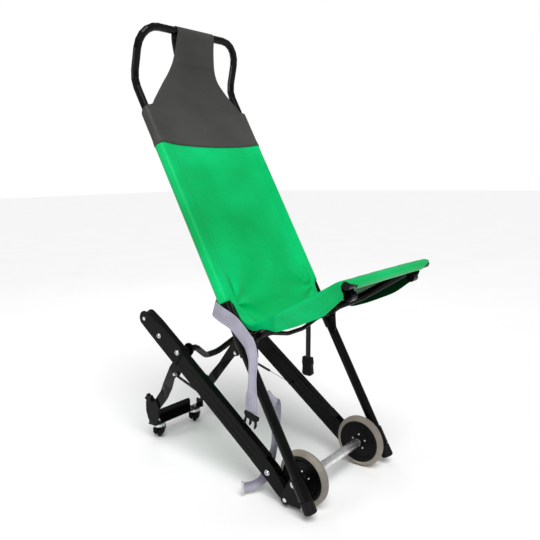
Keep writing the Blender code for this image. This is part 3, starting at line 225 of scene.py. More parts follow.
# ---- materials -----------------------------------------------------------------------------
class Look:
    """One procedural material, built from a few layers."""

    def __init__(self, name, roughness, metallic=0.0, specular=0.5, coat=0.0):
        self.material = bpy.data.materials.new(name)
        self.material.use_nodes = True
        self.tree = self.material.node_tree
        self.shader = self.tree.nodes["Principled BSDF"]
        self.shader.inputs["Roughness"].default_value = roughness
        self.shader.inputs["Metallic"].default_value = metallic
        self.shader.inputs["Specular IOR Level"].default_value = specular
        self.shader.inputs["Coat Weight"].default_value = coat
        self.shader.inputs["Coat Roughness"].default_value = 0.12
        self.normal = None

    def add(self, kind, **values):
        """A new node with some of its properties set."""
        node = self.tree.nodes.new(kind)
        for key, value in values.items():
            setattr(node, key, value)
        return node

    def link(self, a, b):
        """Join an output to an input."""
        self.tree.links.new(a, b)

    def place(self, uv=False, stretch=(1, 1, 1)):
        """UV or object coordinates, scaled."""
        coordinates = self.add("ShaderNodeTexCoord")
        mapping = self.add("ShaderNodeMapping")
        mapping.inputs["Scale"].default_value = stretch
        self.link(coordinates.outputs["UV" if uv else "Object"], mapping.inputs["Vector"])
        return mapping.outputs["Vector"]

    def noise(self, scale, detail=3.0, stretch=(1, 1, 1)):
        """Noise over the object."""
        node = self.add("ShaderNodeTexNoise")
        node.inputs["Scale"].default_value = scale
        node.inputs["Detail"].default_value = detail
        self.link(self.place(stretch=stretch), node.inputs["Vector"])
        return node.outputs["Fac"]

    def wave(self, scale, direction, distortion=0.0):
        """Even bands across or along the sheet's UVs."""
        node = self.add("ShaderNodeTexWave", bands_direction=direction, wave_profile="SIN")
        node.inputs["Scale"].default_value = scale
        node.inputs["Distortion"].default_value = distortion
        self.link(self.place(uv=True), node.inputs["Vector"])
        return node.outputs["Fac"]

    def ramp(self, fac, stops):
        """Colours by (place, colour) stops."""
        node = self.add("ShaderNodeValToRGB")
        ramp = node.color_ramp
        while len(ramp.elements) < len(stops):
            ramp.elements.new(0.5)
        for element, (place, colour) in zip(ramp.elements, stops):
            element.position = place
            element.color = (*colour, 1)
        self.link(fac, node.inputs["Fac"])
        return node.outputs["Color"]

    def mix(self, fac, a, b, blend="MIX"):
        """Two colours mixed by a number or by a socket."""
        node = self.add("ShaderNodeMix", data_type="RGBA", blend_type=blend)
        if isinstance(fac, float):
            node.inputs[0].default_value = fac
        else:
            self.link(fac, node.inputs[0])
        self.link(a, node.inputs[6])
        self.link(b, node.inputs[7])
        return node.outputs[2]

    def spread(self, fac, low, high, a=0.0, b=1.0):
        """The range a to b of a value, mapped to low to high."""
        node = self.add("ShaderNodeMapRange")
        for key, value in zip(("From Min", "From Max", "To Min", "To Max"), (a, b, low, high)):
            node.inputs[key].default_value = value
        self.link(fac, node.inputs["Value"])
        return node.outputs["Result"]

    def edges(self, radius):
        """1 along sharp edges and 0 on faces, and the edges' rounded normal for the bumps."""
        bevel = self.add("ShaderNodeBevel", samples=6)
        bevel.inputs["Radius"].default_value = radius
        geometry = self.add("ShaderNodeNewGeometry")
        dot = self.add("ShaderNodeVectorMath", operation="DOT_PRODUCT")
        self.link(bevel.outputs["Normal"], dot.inputs[0])
        self.link(geometry.outputs["Normal"], dot.inputs[1])
        self.normal = bevel.outputs["Normal"]
        return self.spread(dot.outputs["Value"], 1.0, 0.0, 0.80, 0.985)

    def colour(self, socket):
        """Set the base colour."""
        self.link(socket, self.shader.inputs["Base Color"])

    def roughness(self, socket):
        """Set the roughness."""
        self.link(socket, self.shader.inputs["Roughness"])

    def bump(self, fac, strength, distance):
        """Put a layer of bumps on top of those already there."""
        node = self.add("ShaderNodeBump")
        node.inputs["Strength"].default_value = strength
        node.inputs["Distance"].default_value = distance
        self.link(fac, node.inputs["Height"])
        if self.normal is not None:
            self.link(self.normal, node.inputs["Normal"])
        self.normal = node.outputs["Normal"]
        self.link(self.normal, self.shader.inputs["Normal"])


def painted(name, dark, light, worn, roughness, grain, coat=0.0, specular=0.10):
    """Powder-coated or moulded surface: mottled colour, orange peel, edges rubbed lighter."""
    look = Look(name, roughness, specular=specular, coat=coat)
    base = look.ramp(look.noise(9.0, 4.0), ((0.35, dark), (0.68, light)))
    wear = look.noise(70.0, 5.0)
    rubbed = look.add("ShaderNodeMath", operation="MULTIPLY")
    look.link(look.edges(0.0012), rubbed.inputs[0])
    look.link(look.spread(wear, 0.1, 0.8, 0.42, 0.66), rubbed.inputs[1])
    tint = look.ramp(look.noise(220.0, 2.0), ((0.3, worn), (0.7, tuple(c * 1.5 for c in worn))))
    look.colour(look.mix(rubbed.outputs[0], base, tint))
    look.roughness(look.spread(look.noise(28.0, 5.0), roughness * 0.75, roughness * 1.35, 0.3, 0.7))
    look.bump(look.noise(grain, 2.0), 0.10, 0.0004)
    look.bump(look.noise(5.0, 2.0), 0.04, 0.002)
    return look.material


def metal(name, colour, roughness, brushed):
    """Bare metal with dull patches, brushed along the axis whose stretch is small."""
    look = Look(name, roughness, metallic=1.0)
    dull = tuple(c * 0.72 for c in colour)
    look.colour(look.ramp(look.noise(40.0, 5.0), ((0.36, dull), (0.62, colour))))
    look.roughness(look.spread(look.noise(260.0, 3.0, stretch=brushed), roughness * 0.6,
                               roughness * 1.5, 0.3, 0.7))
    look.bump(look.noise(420.0, 2.0, stretch=brushed), 0.12, 0.0002)
    return look.material


def coated_cloth(name, dark, mid, light, roughness):
    """Shiny coated sheet: woven base showing through the coat, broad tone changes and scuffs."""
    look = Look(name, roughness, specular=0.09)
    broad = look.ramp(look.noise(3.2, 3.0), ((0.30, dark), (0.52, mid), (0.74, light)))
    weave = look.mix(0.5, look.wave(260.0, "X"), look.wave(260.0, "Y"), "MULTIPLY")
    fine = look.ramp(look.noise(140.0, 3.0), ((0.30, (0.90, 0.90, 0.90)), (0.7, (1.0, 1.0, 1.0))))
    look.colour(look.mix(1.0, broad, fine, "MULTIPLY"))
    look.roughness(look.spread(look.noise(13.0, 6.0), roughness * 0.78, roughness * 1.3, 0.3, 0.7))
    look.bump(weave, 0.10, 0.00025)
    look.bump(look.noise(18.0, 3.0), 0.16, 0.0022)
    return look.material


def woven(name, dark, light, ribs):
    """Flat webbing: long ribs, cross weave and a little dirt."""
    look = Look(name, 0.62, specular=0.15)
    look.shader.inputs["Sheen Weight"].default_value = 0.06
    look.shader.inputs["Sheen Roughness"].default_value = 0.35
    rib = look.wave(ribs, "X")
    cross = look.wave(210.0, "Y", distortion=0.6)
    thread = look.mix(0.5, rib, cross, "OVERLAY")
    base = look.ramp(thread, ((0.2, dark), (0.8, light)))
    dirt = look.ramp(look.noise(24.0, 5.0), ((0.3, (0.80, 0.79, 0.78)), (0.65, (1.0, 1.0, 1.0))))
    look.colour(look.mix(1.0, base, dirt, "MULTIPLY"))
    look.roughness(look.spread(look.noise(160.0, 2.0), 0.52, 0.75, 0.3, 0.7))
    look.bump(cross, 0.35, 0.0003)
    look.bump(look.noise(900.0, 2.0), 0.15, 0.0002)
    return look.material


BLACK_PAINT = painted("black_powder_coat", (0.0012, 0.0012, 0.0014), (0.0030, 0.0030, 0.0033),
                      (0.030, 0.030, 0.031), 0.20, 620.0, 0.08)
BLACK_TRACK = painted("black_anodised", (0.0010, 0.0010, 0.0012), (0.0026, 0.0026, 0.0028),
                      (0.040, 0.040, 0.041), 0.26, 900.0)
BLACK_PLASTIC = painted("black_moulded", (0.0022, 0.0022, 0.0024), (0.0048, 0.0048, 0.0048),
                        (0.014, 0.014, 0.014), 0.36, 1300.0)
RUBBER = painted("black_rubber", (0.0030, 0.0030, 0.0030), (0.0070, 0.0070, 0.0070),
                 (0.018, 0.018, 0.017), 0.55, 500.0, 0.0, 0.12)
TYRE = painted("grey_tyre", (0.17, 0.155, 0.135), (0.30, 0.265, 0.215),
               (0.40, 0.37, 0.32), 0.50, 340.0, 0.0, 0.25)
ZINC = metal("bright_zinc", (0.74, 0.74, 0.76), 0.24, (1, 1, 1))
ALUMINIUM = metal("brushed_aluminium", (0.90, 0.90, 0.91), 0.30, (0.05, 1, 1))
SPRING_STEEL = metal("dark_spring_steel", (0.10, 0.10, 0.11), 0.36, (1, 1, 1))
GREEN = coated_cloth("green_coated_cloth", (0.0, 0.35, 0.080), (0.0, 0.45, 0.118),
                     (0.0, 0.62, 0.190), 0.33)
# painted shade: a near-black green put on the seat part's underside where shade falls, not a cloth
# of its own
PAINTED_SHADE_GREEN = coated_cloth("dark_green_painted_shade", (0.0, 0.045, 0.012), (0.0, 0.060, 0.016),
                       (0.0, 0.075, 0.020), 0.55)
GREY = coated_cloth("grey_coated_cloth", (0.044, 0.044, 0.042), (0.056, 0.056, 0.054),
                    (0.072, 0.072, 0.069), 0.42)
WEBBING = woven("lilac_grey_webbing", (0.33, 0.32, 0.39), (0.42, 0.41, 0.50), 60.0)
BLACK_WEBBING = woven("black_webbing", (0.010, 0.010, 0.011), (0.035, 0.035, 0.037), 90.0)
GREEN_THREAD = painted("green_thread", (0.0, 0.26, 0.08), (0.0, 0.36, 0.11),
                       (0.01, 0.40, 0.14), 0.6, 3000.0, 0.0)
GREY_THREAD = painted("grey_thread", (0.05, 0.05, 0.05), (0.08, 0.08, 0.08),
                      (0.12, 0.12, 0.12), 0.6, 3000.0, 0.0)
PALE_THREAD = painted("pale_thread", (0.40, 0.38, 0.33), (0.55, 0.53, 0.46),
                      (0.6, 0.58, 0.5), 0.6, 3000.0, 0.0)

NODE_LOOKS = (
    (("upright", "handle_bar", "seat_frame", "spreader", "leg_arm", "seat_bracket",
      "foot_bracket", "castor_carriage"), BLACK_PAINT),
    (("track_channel", "track_head", "track_foot"), BLACK_TRACK),
    (("leg_side_plate", "wheel_hub", "castor_fork", "buckle", "upper_pulley",
      "lower_pulley"), BLACK_PLASTIC),
    (("foot_cap", "track_belt", "castor_wheel"), RUBBER),
    (("wheel_tyre",), TYRE),
    (("nose_bolt", "track_pivot_bolt", "seat_pivot_bolt", "spring_bolt", "castor_housing",
      "strap_tip"), ZINC),
    (("axle_tube", "axle_rod"), ALUMINIUM),
    (("return_spring",), SPRING_STEEL),
    (("sling_back", "sling_seat"), GREEN),
    (("sling_head", "sling_neck"), GREY),
    (("lap_strap",), WEBBING),
)
for starts, node_material in NODE_LOOKS:
    for node_name, node in NODES.items():
        if node_name.startswith(starts):
            for slot in node.material_slots:
                slot.material = node_material


# ---- the sling: one sheet down the back and over the seat, one over the head -----------------
def web_depth(share, depth):
    """How far the web hangs back between its edges, share being -1 to 1."""
    return depth * (1 - abs(share) ** 3.9)


def wrinkle(p):
    """Slow unevenness of a stretched coated sheet."""
    slow = noise.noise(Vector((p.x * 7, p.y * 5, p.z * 5)))
    quick = noise.noise(Vector((p.x * 22 + 5, p.y * 17, p.z * 17)))
    return slow * 0.0030 + quick * 0.0007


def corner_creases(p):
    """Folds that run out from where the sheet is pulled in beside each upright."""
    total = 0.0
    for side in (-1, 1):
        corner = on_upright(0.632, -0.018, side * 0.195)
        away = p - corner
        distance = away.length
        if distance < 0.17:
            turn = math.atan2(away.z, -side * away.x)
            fade = smooth_step(0.17, 0.02, distance) * smooth_step(0.0, 0.018, distance)
            total += 0.0056 * fade * math.sin(turn * 6.5 + side * 0.7)
    return total


def sleeve_angle(k):
    """Angle round the upright of an outer column, from the web's edge."""
    return -WEB_EDGE + (SLEEVE_TURN + WEB_EDGE) * k / (OUTER_COLUMNS - LAP_COLUMNS)


def sleeve_points(station, sign, tilt):
    """The sheet from the web's edge round the upright and lapped on the web's back."""
    out = []
    for k in range(1, OUTER_COLUMNS - LAP_COLUMNS + 1):
        a = sleeve_angle(k)
        low = tilt * math.sin(min(math.pi, max(0.0, a)) / 2) ** 2
        x = UPRIGHT_X + SLEEVE_R * math.sin(a)
        out.append(on_upright(station - low, -SLEEVE_R * math.cos(a), sign * x))
    for x, behind in ((0.200, -0.0126), (0.190, -0.0113), (0.180, -0.0101)):
        out.append(on_upright(station - tilt, behind, sign * x))
    return out


def flap_points(edge, normal, sign, depth):
    """The sheet turned down at the seat's side, with a little wave along its hem."""
    out = []
    radius = min(0.005, depth * 0.4)
    arc = 8
    outward = Vector((sign, 0, 0))
    centre = edge - normal * radius
    for k in range(1, OUTER_COLUMNS + 1):
        if k <= arc:
            a = math.pi / 2 * k / arc
            out.append(centre + (outward * math.sin(a) + normal * math.cos(a)) * radius)
            continue
        down = (depth - radius) * (k - arc) / (OUTER_COLUMNS - arc)
        wave = 0.0024 * math.sin(edge.y * 62 + 1.3) * smooth_step(0.0, 0.05, down)
        lean = 0.62 * max(0.0, down - 0.006) * smooth_step(0.205, 0.228, abs(edge.x))
        out.append(centre + outward * (radius - lean + wave) - normal * down)
    return out


def build_sheet(name, rows, material):
    """A grid of faces over rows of (web points, outer points of each side or None, cut).

    After a row that is cut, the outer columns have no faces down to the next row.
    """
    vertices, faces, uvs = [], [], []
    width = WEB_COLUMNS + 1 + 2 * OUTER_COLUMNS
    grid = []
    run = 0.0
    before = None
    for web, outer, _ in rows:
        line = []
        middle = web[len(web) // 2]
        run += (middle - before).length if before is not None else 0.0
        before = middle
        full = (list(reversed(outer[0])) if outer else [None] * OUTER_COLUMNS) + list(web)
        full += list(outer[1]) if outer else [None] * OUTER_COLUMNS
        across = 0.0
        last = None
        for p in full:
            if p is None:
                line.append(None)
                continue
            across += (p - last).length if last is not None else 0.0
            last = p
            line.append(len(vertices))
            vertices.append(p)
            uvs.append((across, run))
        grid.append(line)
    for i in range(len(grid) - 1):
        cut = rows[i][2]
        for j in range(width - 1):
            inside = OUTER_COLUMNS <= j < OUTER_COLUMNS + WEB_COLUMNS
            quad = (grid[i][j], grid[i][j + 1], grid[i + 1][j + 1], grid[i + 1][j])
            if None not in quad and (inside or not cut):
                faces.append(quad)
    used = sorted({v for f in faces for v in f})
    index = {v: n for n, v in enumerate(used)}
    faces = [tuple(index[v] for v in f) for f in faces]
    return mesh_object(name, [vertices[v] for v in used], faces, material, [uvs[v] for v in used])


def thicken(obj, thickness, painted_shade=None):
    """Give a sheet its thickness for good, with a darker green painted on as shade under the seat
    part when one is given.
    """
    solid = obj.modifiers.new("thickness", "SOLIDIFY")
    solid.thickness = thickness
    solid.offset = 0.0
    solid.use_even_offset = False
    depsgraph = bpy.context.evaluated_depsgraph_get()
    mesh = bpy.data.meshes.new_from_object(obj.evaluated_get(depsgraph))
    obj.modifiers.clear()
    obj.data = mesh
    if painted_shade is not None:
        mesh.materials.append(painted_shade)
        shell = len(mesh.vertices) // 2
        # painted shade: the inner shell's faces under the seat part take the dark green material
        for face in mesh.polygons:
            if face.center.y < PAINTED_SHADE_FROM_Y and max(face.vertices) < shell:
                face.material_index = 1
    mesh.polygons.foreach_set("use_smooth", [True] * len(mesh.polygons))


def web_row(edge, normal, half, depth, bow=0.0):
    """Points of one row across the web, set back in the middle by the depth and down by the bow."""
    out = []
    for k in range(WEB_COLUMNS + 1):
        share = 2 * k / WEB_COLUMNS - 1
        share = math.copysign(abs(share) ** 0.93, share)
        p = edge + Vector((share * half, 0, 0))
        p = p - normal * web_depth(share, depth) - UP * (bow * (1 - share * share))
        free = smooth_step(1.0, 0.86, abs(share))
        out.append(p - normal * (wrinkle(p) + corner_creases(p)) * free)
    return out


WEB_HALF = UPRIGHT_X - SLEEVE_R * math.sin(WEB_EDGE)
WEB_FRONT = -SLEEVE_R * math.cos(WEB_EDGE)

# edge line of the seat part: Y, Z, half width, flap, sag
SEAT_LINE = (
    (-0.0605, 0.5995, 0.2160, 0.003, 0.012), (-0.0665, 0.5880, 0.2090, 0.003, 0.012),
    (-0.0752, 0.5704, 0.2060, 0.004, 0.012), (-0.0893, 0.5500, 0.2035, 0.006, 0.012),
    (-0.1060, 0.5395, 0.2005, 0.010, 0.013), (-0.1280, 0.5360, 0.1985, 0.018, 0.014),
    (-0.1550, 0.5465, 0.1985, 0.021, 0.016), (-0.1800, 0.5590, 0.2000, 0.033, 0.018),
    (-0.2000, 0.5695, 0.2050, 0.045, 0.019), (-0.2300, 0.5845, 0.2180, 0.050, 0.020),
    (-0.2600, 0.6000, 0.2270, 0.054, 0.020), (-0.3020, 0.6215, 0.2305, 0.057, 0.018),
    (-0.3500, 0.6465, 0.2310, 0.059, 0.015), (-0.3889, 0.6680, 0.2310, 0.052, 0.010),
    (-0.4139, 0.6820, 0.2310, 0.046, 0.007), (-0.4340, 0.6935, 0.2320, 0.038, 0.004),
    (-0.4480, 0.6995, 0.2325, 0.014, 0.002), (-0.4600, 0.7036, 0.2330, 0.003, 0.000),
)


def back_rows():
    """Rows of the green sheet from the colour border down to the sleeves' lower ends."""
    rows = []
    for i in range(BACK_ROWS + 1):
        station = BORDER + (SLEEVE_LOW - BORDER) * i / BACK_ROWS
        bow = BORDER_BOW * smooth_step(BORDER - 0.08, BORDER, station)
        web = web_row(on_upright(station, WEB_FRONT), -BACK, WEB_HALF, WEB_SAG, bow)
        outer = [sleeve_points(station, sign, 0.0) for sign in (-1, 1)]
        rows.append((web, outer, i == BACK_ROWS))
    return rows


def seat_rows():
    """Rows of the green sheet along the seat and round its front bar."""
    line = curve_through(SEAT_LINE, 5)
    places = [at(y, z) for y, z, *_ in line]
    rows = []
    for i, (p, (*_, half, flap, sag)) in enumerate(zip(places, line)):
        t = tangent(places, i).normalized()
        normal = Vector((0, t.z, -t.y))
        web = web_row(p, normal, half, sag)
        outer = [flap_points(p + Vector((sign * half, 0, 0)), normal, sign, flap)
                 for sign in (-1, 1)]
        rows.append((web, outer, False))
    wrap = SEAT_BAR_R + SHEET_GAP + SHEET_T / 2
    for i in range(1, 13):
        a = math.radians(14 + 11.5 * i)
        turn = Vector((0, -math.sin(a), math.cos(a)))
        p = SEAT_BAR + turn * wrap
        half = 0.2335 - 0.040 * smooth_step(3, 8, i)
        web = [p + Vector(((2 * k / WEB_COLUMNS - 1) * half, 0, 0)) for k in range(WEB_COLUMNS + 1)]
        outer = [flap_points(p + Vector((sign * half, 0, 0)), turn, sign, 0.002)
                 for sign in (-1, 1)]
        rows.append((web, outer, False))
    return rows


# edge line of the neck: Y, Z, half width
NECK_LINE = (
    (0.2625, 1.2010, 0.2080), (0.2690, 1.2180, 0.1930), (0.2770, 1.2380, 0.1740),
    (0.2845, 1.2590, 0.1550), (0.2900, 1.2790, 0.1380), (0.2930, 1.2980, 0.1220),
    (0.2920, 1.3190, 0.1090), (0.2880, 1.3443, 0.0985), (0.2830, 1.3740, 0.0920),
    (0.2780, 1.4060, 0.0875), (0.2722, 1.4380, 0.0850),
)


def head_rows():
    """Rows of the grey sheet: head panel, neck strap, over the handle and down behind it."""
    rows = []
    for i in range(HEAD_ROWS + 1):
        station = BORDER - BORDER_LAP + (SLEEVE_TOP - BORDER + BORDER_LAP) * i / HEAD_ROWS
        bow = BORDER_BOW * smooth_step(SLEEVE_TOP, BORDER, station)
        proud = 0.0016 * smooth_step(BORDER + 0.016, BORDER, station)
        web = web_row(on_upright(station, WEB_FRONT - proud), -BACK, WEB_HALF, WEB_SAG, bow)
        tilt = 0.024 * smooth_step(BORDER + 0.03, SLEEVE_TOP, station)
        outer = [sleeve_points(station, sign, tilt) for sign in (-1, 1)]
        if proud:
            for side in outer:
                for k, p in enumerate(side[:-LAP_COLUMNS]):
                    a = sleeve_angle(k + 1)
                    sign = 1 if p.x > 0 else -1
                    side[k] = p + (Vector((sign, 0, 0)) * math.sin(a) - BACK * math.cos(a)) * proud
        rows.append((web, outer, False))
    line = curve_through(NECK_LINE, 5)
    places = [at(y, z) for y, z, _ in line]
    for i, (p, (*_, half)) in enumerate(zip(places, line)):
        t = tangent(places, i).normalized()
        normal = Vector((0, -t.z, t.y))
        sag = WEB_SAG * smooth_step(NECK_HALF, 0.21, half) + 0.0012
        p = p + Vector((NECK_OFFSET * smooth_step(0.205, 0.100, half), 0, 0))
        rows.append((web_row(p, normal, half, sag), None, True))
    wrap = HANDLE_BAR_R + SHEET_GAP + SHEET_T / 2
    for i in range(1, 15):
        a = math.radians(13 * i)
        turn = HANDLE_FRONT * math.cos(a) + HANDLE_UP * math.sin(a)
        rows.append((flat_row(HANDLE_BAR + turn * wrap, NECK_HALF, NECK_OFFSET), None, True))
    back = ((0.3045, 1.4330), (0.3045, 1.4200), (0.3020, 1.4020), (0.2980, 1.3820),
            (0.2940, 1.3640), (0.2925, 1.3480), (0.2945, 1.3340))
    for y, z in curve_through(back, 4):
        rows.append((flat_row(at(y, z), 0.084, NECK_OFFSET), None, True))
    return rows


def flat_row(p, half, offset):
    """Points of one straight row, its middle moved sideways by the offset."""
    return [p + Vector((offset + (2 * k / WEB_COLUMNS - 1) * half, 0, 0))
            for k in range(WEB_COLUMNS + 1)]


def seam(lines, body, name, material, **kinds):
    """One piece of stitching along (points, normals) lines, riding on a body."""
    vertices, faces = join([stitches(line, normals, **kinds) for line, normals in lines])
    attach(mesh_object(name, vertices, faces, material), body)


def side_seams(rows):
    """The two stitching lines up the sides of the back."""
    lines = []
    for column in SEAM_COLUMNS:
        line = [row[0][column] - BACK * THREAD_LIFT for row in rows]
        lines.append((line, [-BACK] * len(line)))
    return lines


def build_sling():
    """Both sheets of the sling and the stitching on them."""
    green_rows = back_rows() + seat_rows()
    green = build_sheet("back_and_seat_sheet", green_rows, GREEN)
    thicken(green, SHEET_T, PAINTED_SHADE_GREEN)
    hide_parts("sling_back", "sling_seat")
    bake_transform(green)

    grey_rows = head_rows()
    grey = build_sheet("head_and_neck_sheet", grey_rows, GREY)
    thicken(grey, SHEET_T)
    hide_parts("sling_head", "sling_neck")
    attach(grey, "main_frame")

    border = []
    for inset in (0.0030, 0.0058):
        line = [p + UP * inset for p in web_row(on_upright(BORDER - BORDER_LAP, WEB_FRONT - 0.0023),
                                                -BACK, WEB_HALF, WEB_SAG, BORDER_BOW)]
        border.append((line, [-BACK] * len(line)))
    border += side_seams(grey_rows[1:HEAD_ROWS + 1])
    crease = [at(0.2880, 1.3443, NECK_OFFSET + x / 100) + HANDLE_FRONT * 0.0016
              for x in range(-9, 10)]
    for line in (crease, [p - HANDLE_UP * 0.004 for p in crease]):
        border.append((line, [HANDLE_FRONT] * len(line)))
    seam(border, "main_frame", "head_stitching", GREY_THREAD)

    seam(side_seams(green_rows[:BACK_ROWS + 1]), "main_frame", "back_stitching", GREEN_THREAD)

    seat_part = green_rows[BACK_ROWS + 1:]
    hems = []
    for side in (0, 1):
        line, normals = [], []
        for row in seat_part[HEM_ROWS]:
            p = row[1][side][HEM_COLUMN]
            sign = 1 if p.x > 0 else -1
            line.append(p + Vector((sign * THREAD_LIFT, 0, 0)))
            normals.append(Vector((sign, 0, 0)))
        hems.append((line, normals))
    front = [p + Vector((0, 0, THREAD_LIFT)) for p in seat_part[FRONT_SEAM_ROW][0]]
    hems.append((front, [Vector((0, 0, 1))] * len(front)))
    seam(hems, "seat", "seat_stitching", GREEN_THREAD)


build_sling()


# ---- straps --------------------------------------------------------------------------------
def ribbon(name, path, across, widths, arc, thickness, ribs, material):
    """Webbing with raised ribs. Where it is squeezed narrower than its arc it bows outwards."""
    points = [Vector(p) for p in path]
    columns = ribs * 4
    vertices, faces, uvs = [], [], []
    run = 0.0
    for i, p in enumerate(points):
        t = tangent(points, i).normalized()
        face = across[i] if isinstance(across, list) else across
        side = (face - t * face.dot(t)).normalized()
        out = t.cross(side).normalized()
        half = widths[i]
        rise = math.sqrt(max(0.0, (arc / 2) ** 2 - half ** 2)) * 0.93
        run += (p - points[i - 1]).length if i else 0.0
        for layer in (1, -1):
            for k in range(columns + 1):
                u = 2 * k / columns - 1
                rib = 0.00022 * math.cos(math.pi * 2 * ribs * k / columns)
                edge = smooth_step(1.0, 0.93, abs(u))
                skin = thickness / 2 * (0.35 + 0.65 * edge) + rib * edge
                lift = rise * (1 - u * u) + layer * skin
                vertices.append(p + side * (u * half) + out * lift)
                uvs.append((u * arc / 2, run))
    size = columns + 1
    for i in range(len(points) - 1):
        a, b = i * 2 * size, (i + 1) * 2 * size
        for k in range(columns):
            faces.append((a + k, a + k + 1, b + k + 1, b + k))
            faces.append((a + size + k + 1, a + size + k, b + size + k, b + size + k + 1))
        faces.append((a + size, a, b, b + size))
        faces.append((a + columns, a + size + columns, b + size + columns, b + columns))
    last = (len(points) - 1) * 2 * size
    faces.append(tuple(range(columns, -1, -1)) + tuple(range(size, 2 * size)))
    faces.append(tuple(last + k for k in range(size)) + tuple(
        last + k for k in range(2 * size - 1, size - 1, -1)))
    obj = mesh_object(name, vertices, faces, material, uvs)
    bm = bmesh.new()
    bm.from_mesh(obj.data)
    bmesh.ops.recalc_face_normals(bm, faces=bm.faces)
    bm.to_mesh(obj.data)
    bm.free()
    return obj, run


def build_tongue(outside):
    """Moulded plug half of the buckle: strap bar, shoulders, two sprung arms and a guide."""
    half = ((0.0000, -0.0040), (0.0250, -0.0040), (0.0272, -0.0020), (0.0272, 0.0075),
            (0.0240, 0.0110), (0.0215, 0.0140), (0.0235, 0.0240), (0.0240, 0.0300),
            (0.0205, 0.0385), (0.0178, 0.0390), (0.0172, 0.0330), (0.0168, 0.0200),
            (0.0140, 0.0160), (0.0050, 0.0160), (0.0032, 0.0190), (0.0028, 0.0330),
            (0.0000, 0.0345))
    outline = list(half) + [(-u, v) for u, v in reversed(half[1:-1])]
    down = Vector((0, 0.25, -0.968))
    wide = Vector((0, 0.968, 0.25))
    origin = at(-0.1500, 0.2760, outside + 0.0028)
    bm = bmesh.new()
    layers = []
    for x in (-0.0034, 0.0034):
        layers.append([bm.verts.new(origin + wide * u + down * v + Vector((x, 0, 0)))
                       for u, v in outline])
    count = len(outline)
    bm.faces.new(layers[0])
    bm.faces.new(list(reversed(layers[1])))
    for k in range(count):
        n = (k + 1) % count
        bm.faces.new((layers[0][n], layers[0][k], layers[1][k], layers[1][n]))
    bmesh.ops.recalc_face_normals(bm, faces=bm.faces)
    bmesh.ops.bevel(bm, geom=[e for e in bm.edges if e.calc_face_angle(0) > 0.9],
                    offset=0.0009, segments=3, affect="EDGES", clamp_overlap=True)
    mesh = bpy.data.meshes.new("buckle_tongue_moulded")
    bm.to_mesh(mesh)
    bm.free()
    mesh.materials.append(BLACK_PLASTIC)
    tongue = bpy.data.objects.new("buckle_tongue_moulded", mesh)
    bpy.context.scene.collection.objects.link(tongue)
    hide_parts("buckle_tongue")
    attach(tongue, "main_frame")


